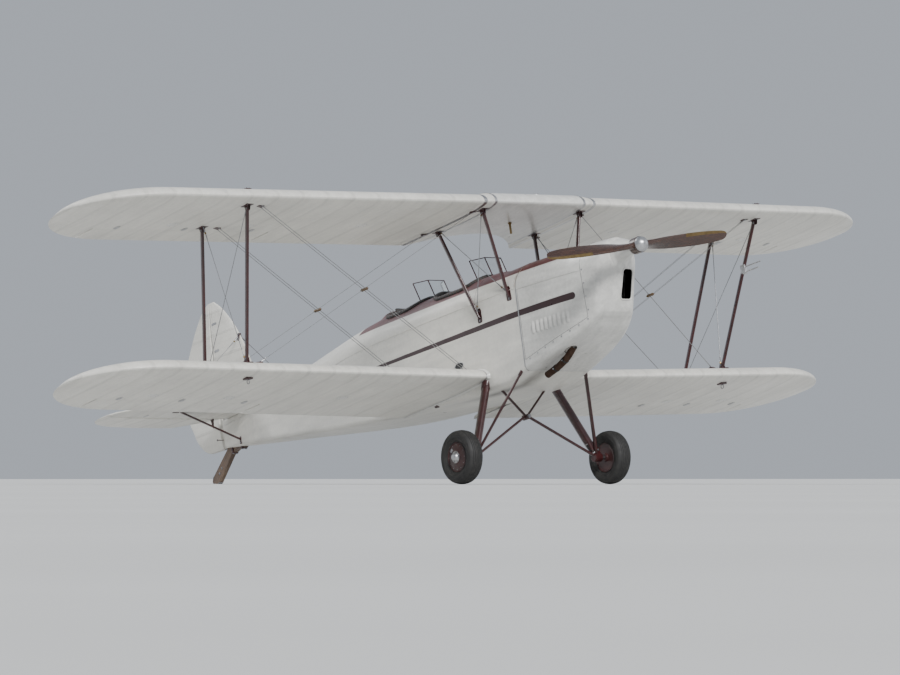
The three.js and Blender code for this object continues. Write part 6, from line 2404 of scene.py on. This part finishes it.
def build_top_fittings():
    """Bolt plates on top of the upper wing over each interplane strut's end."""
    for word, side in SIDES:
        kit = Kit()
        for top, _ in INTERPLANES.values():
            spot = wing_spot(UPPER, top[0], top[1], True)[0]
            axes = wing_axes(UPPER, spot, True)
            kit.put(block((-0.045, -0.026, -0.003), (0.045, 0.026, 0.003), 0.002), spot, axes, "strut")
            kit.bolts((0.0055, 0.008), spot, axes, [(a, b, 0.003) for a in (-0.028, 0.0, 0.028)
                                                    for b in (-0.013, 0.013)])
        kit.mirror(side).piece(f"wing_top_plates_{word}", "strut_paint")


# Stage

FLOOR_REACH = 140
FLOOR_COLOR = (0.60, 0.60, 0.59)
SKY_COLOR = (0.78, 0.84, 0.93, 1)
SKY_STRENGTH = 0.55
CAMERA_AZIMUTH = math.radians(-36)
CAMERA_HEIGHT = 0.06
CAMERA_DISTANCE = 60.0
FOCAL_LENGTH = 275
AIM = (0.32, -0.23, 1.28)
# Soft distant lights: name, direction they come from, apparent width in degrees, strength.
LIGHTS = [("key", (-4, -11, 9), 14, 3.6), ("fill", (12, -6, 5), 60, 0.5), ("back", (-6, 12, 9), 30, 1.3)]


def floor_material():
    n = Nodes("studio_floor")
    n.roughness(n.noise(3.0), 0.55, 0.75)
    return n.finish(n.vary(FLOOR_COLOR, 0.05, n.noise(0.4)))


def linked(name, data):
    """A new object in the scene."""
    thing = bpy.data.objects.new(name, data)
    bpy.context.scene.collection.objects.link(thing)
    return thing


def turned_to(thing, way, axis):
    """Turns one of an object's axes to a direction."""
    thing.rotation_euler = way.to_track_quat(axis, "Y").to_euler()


def build_stage():
    floor = bpy.data.meshes.new("floor")
    corners = [(-1, -1), (1, -1), (1, 1), (-1, 1)]
    floor.from_pydata([(x * FLOOR_REACH, y * FLOOR_REACH, 0) for x, y in corners], [], [[0, 1, 2, 3]])
    floor.materials.append(floor_material())
    linked("floor", floor)
    world = bpy.data.worlds.new("studio")
    world.use_nodes = True
    background = world.node_tree.nodes["Background"]
    background.inputs["Color"].default_value = SKY_COLOR
    background.inputs["Strength"].default_value = SKY_STRENGTH
    bpy.context.scene.world = world
    for name, place, angle, strength in LIGHTS:
        light = bpy.data.lights.new(name, "SUN")
        light.angle = math.radians(angle)
        light.energy = strength
        thing = linked(name, light)
        thing.location = place
        turned_to(thing, Vector(place), "Z")
    camera = bpy.data.cameras.new("camera")
    camera.lens = FOCAL_LENGTH
    camera.clip_end = 500
    thing = linked("camera", camera)
    away = Vector((math.sin(CAMERA_AZIMUTH), -math.cos(CAMERA_AZIMUTH), 0))
    thing.location = away * CAMERA_DISTANCE + Vector((0, 0, CAMERA_HEIGHT))
    turned_to(thing, Vector(AIM) - thing.location, "-Z")
    bpy.context.scene.camera = thing


for build in (build_wings, build_centre_section, build_fuselage, build_cowl, build_tail,
              build_struts, build_wires, build_undercarriage, build_wheels, build_skid,
              build_propeller, build_engine, build_rims, build_windscreens, build_seats,
              build_cushions, build_cockpit_inside, build_sticks, build_dials, build_shoes,
              build_wing_details, build_tank_details, build_braces, build_pitot,
              build_cowl_details, build_body_details, build_wing_roots, build_gear_details,
              build_wheel_details, build_propeller_details, build_tail_hinges,
              build_tail_braces, build_horns, build_tail_fairing, build_harness, build_top_fittings,
              dress_frame_nodes, build_stage):
    build()
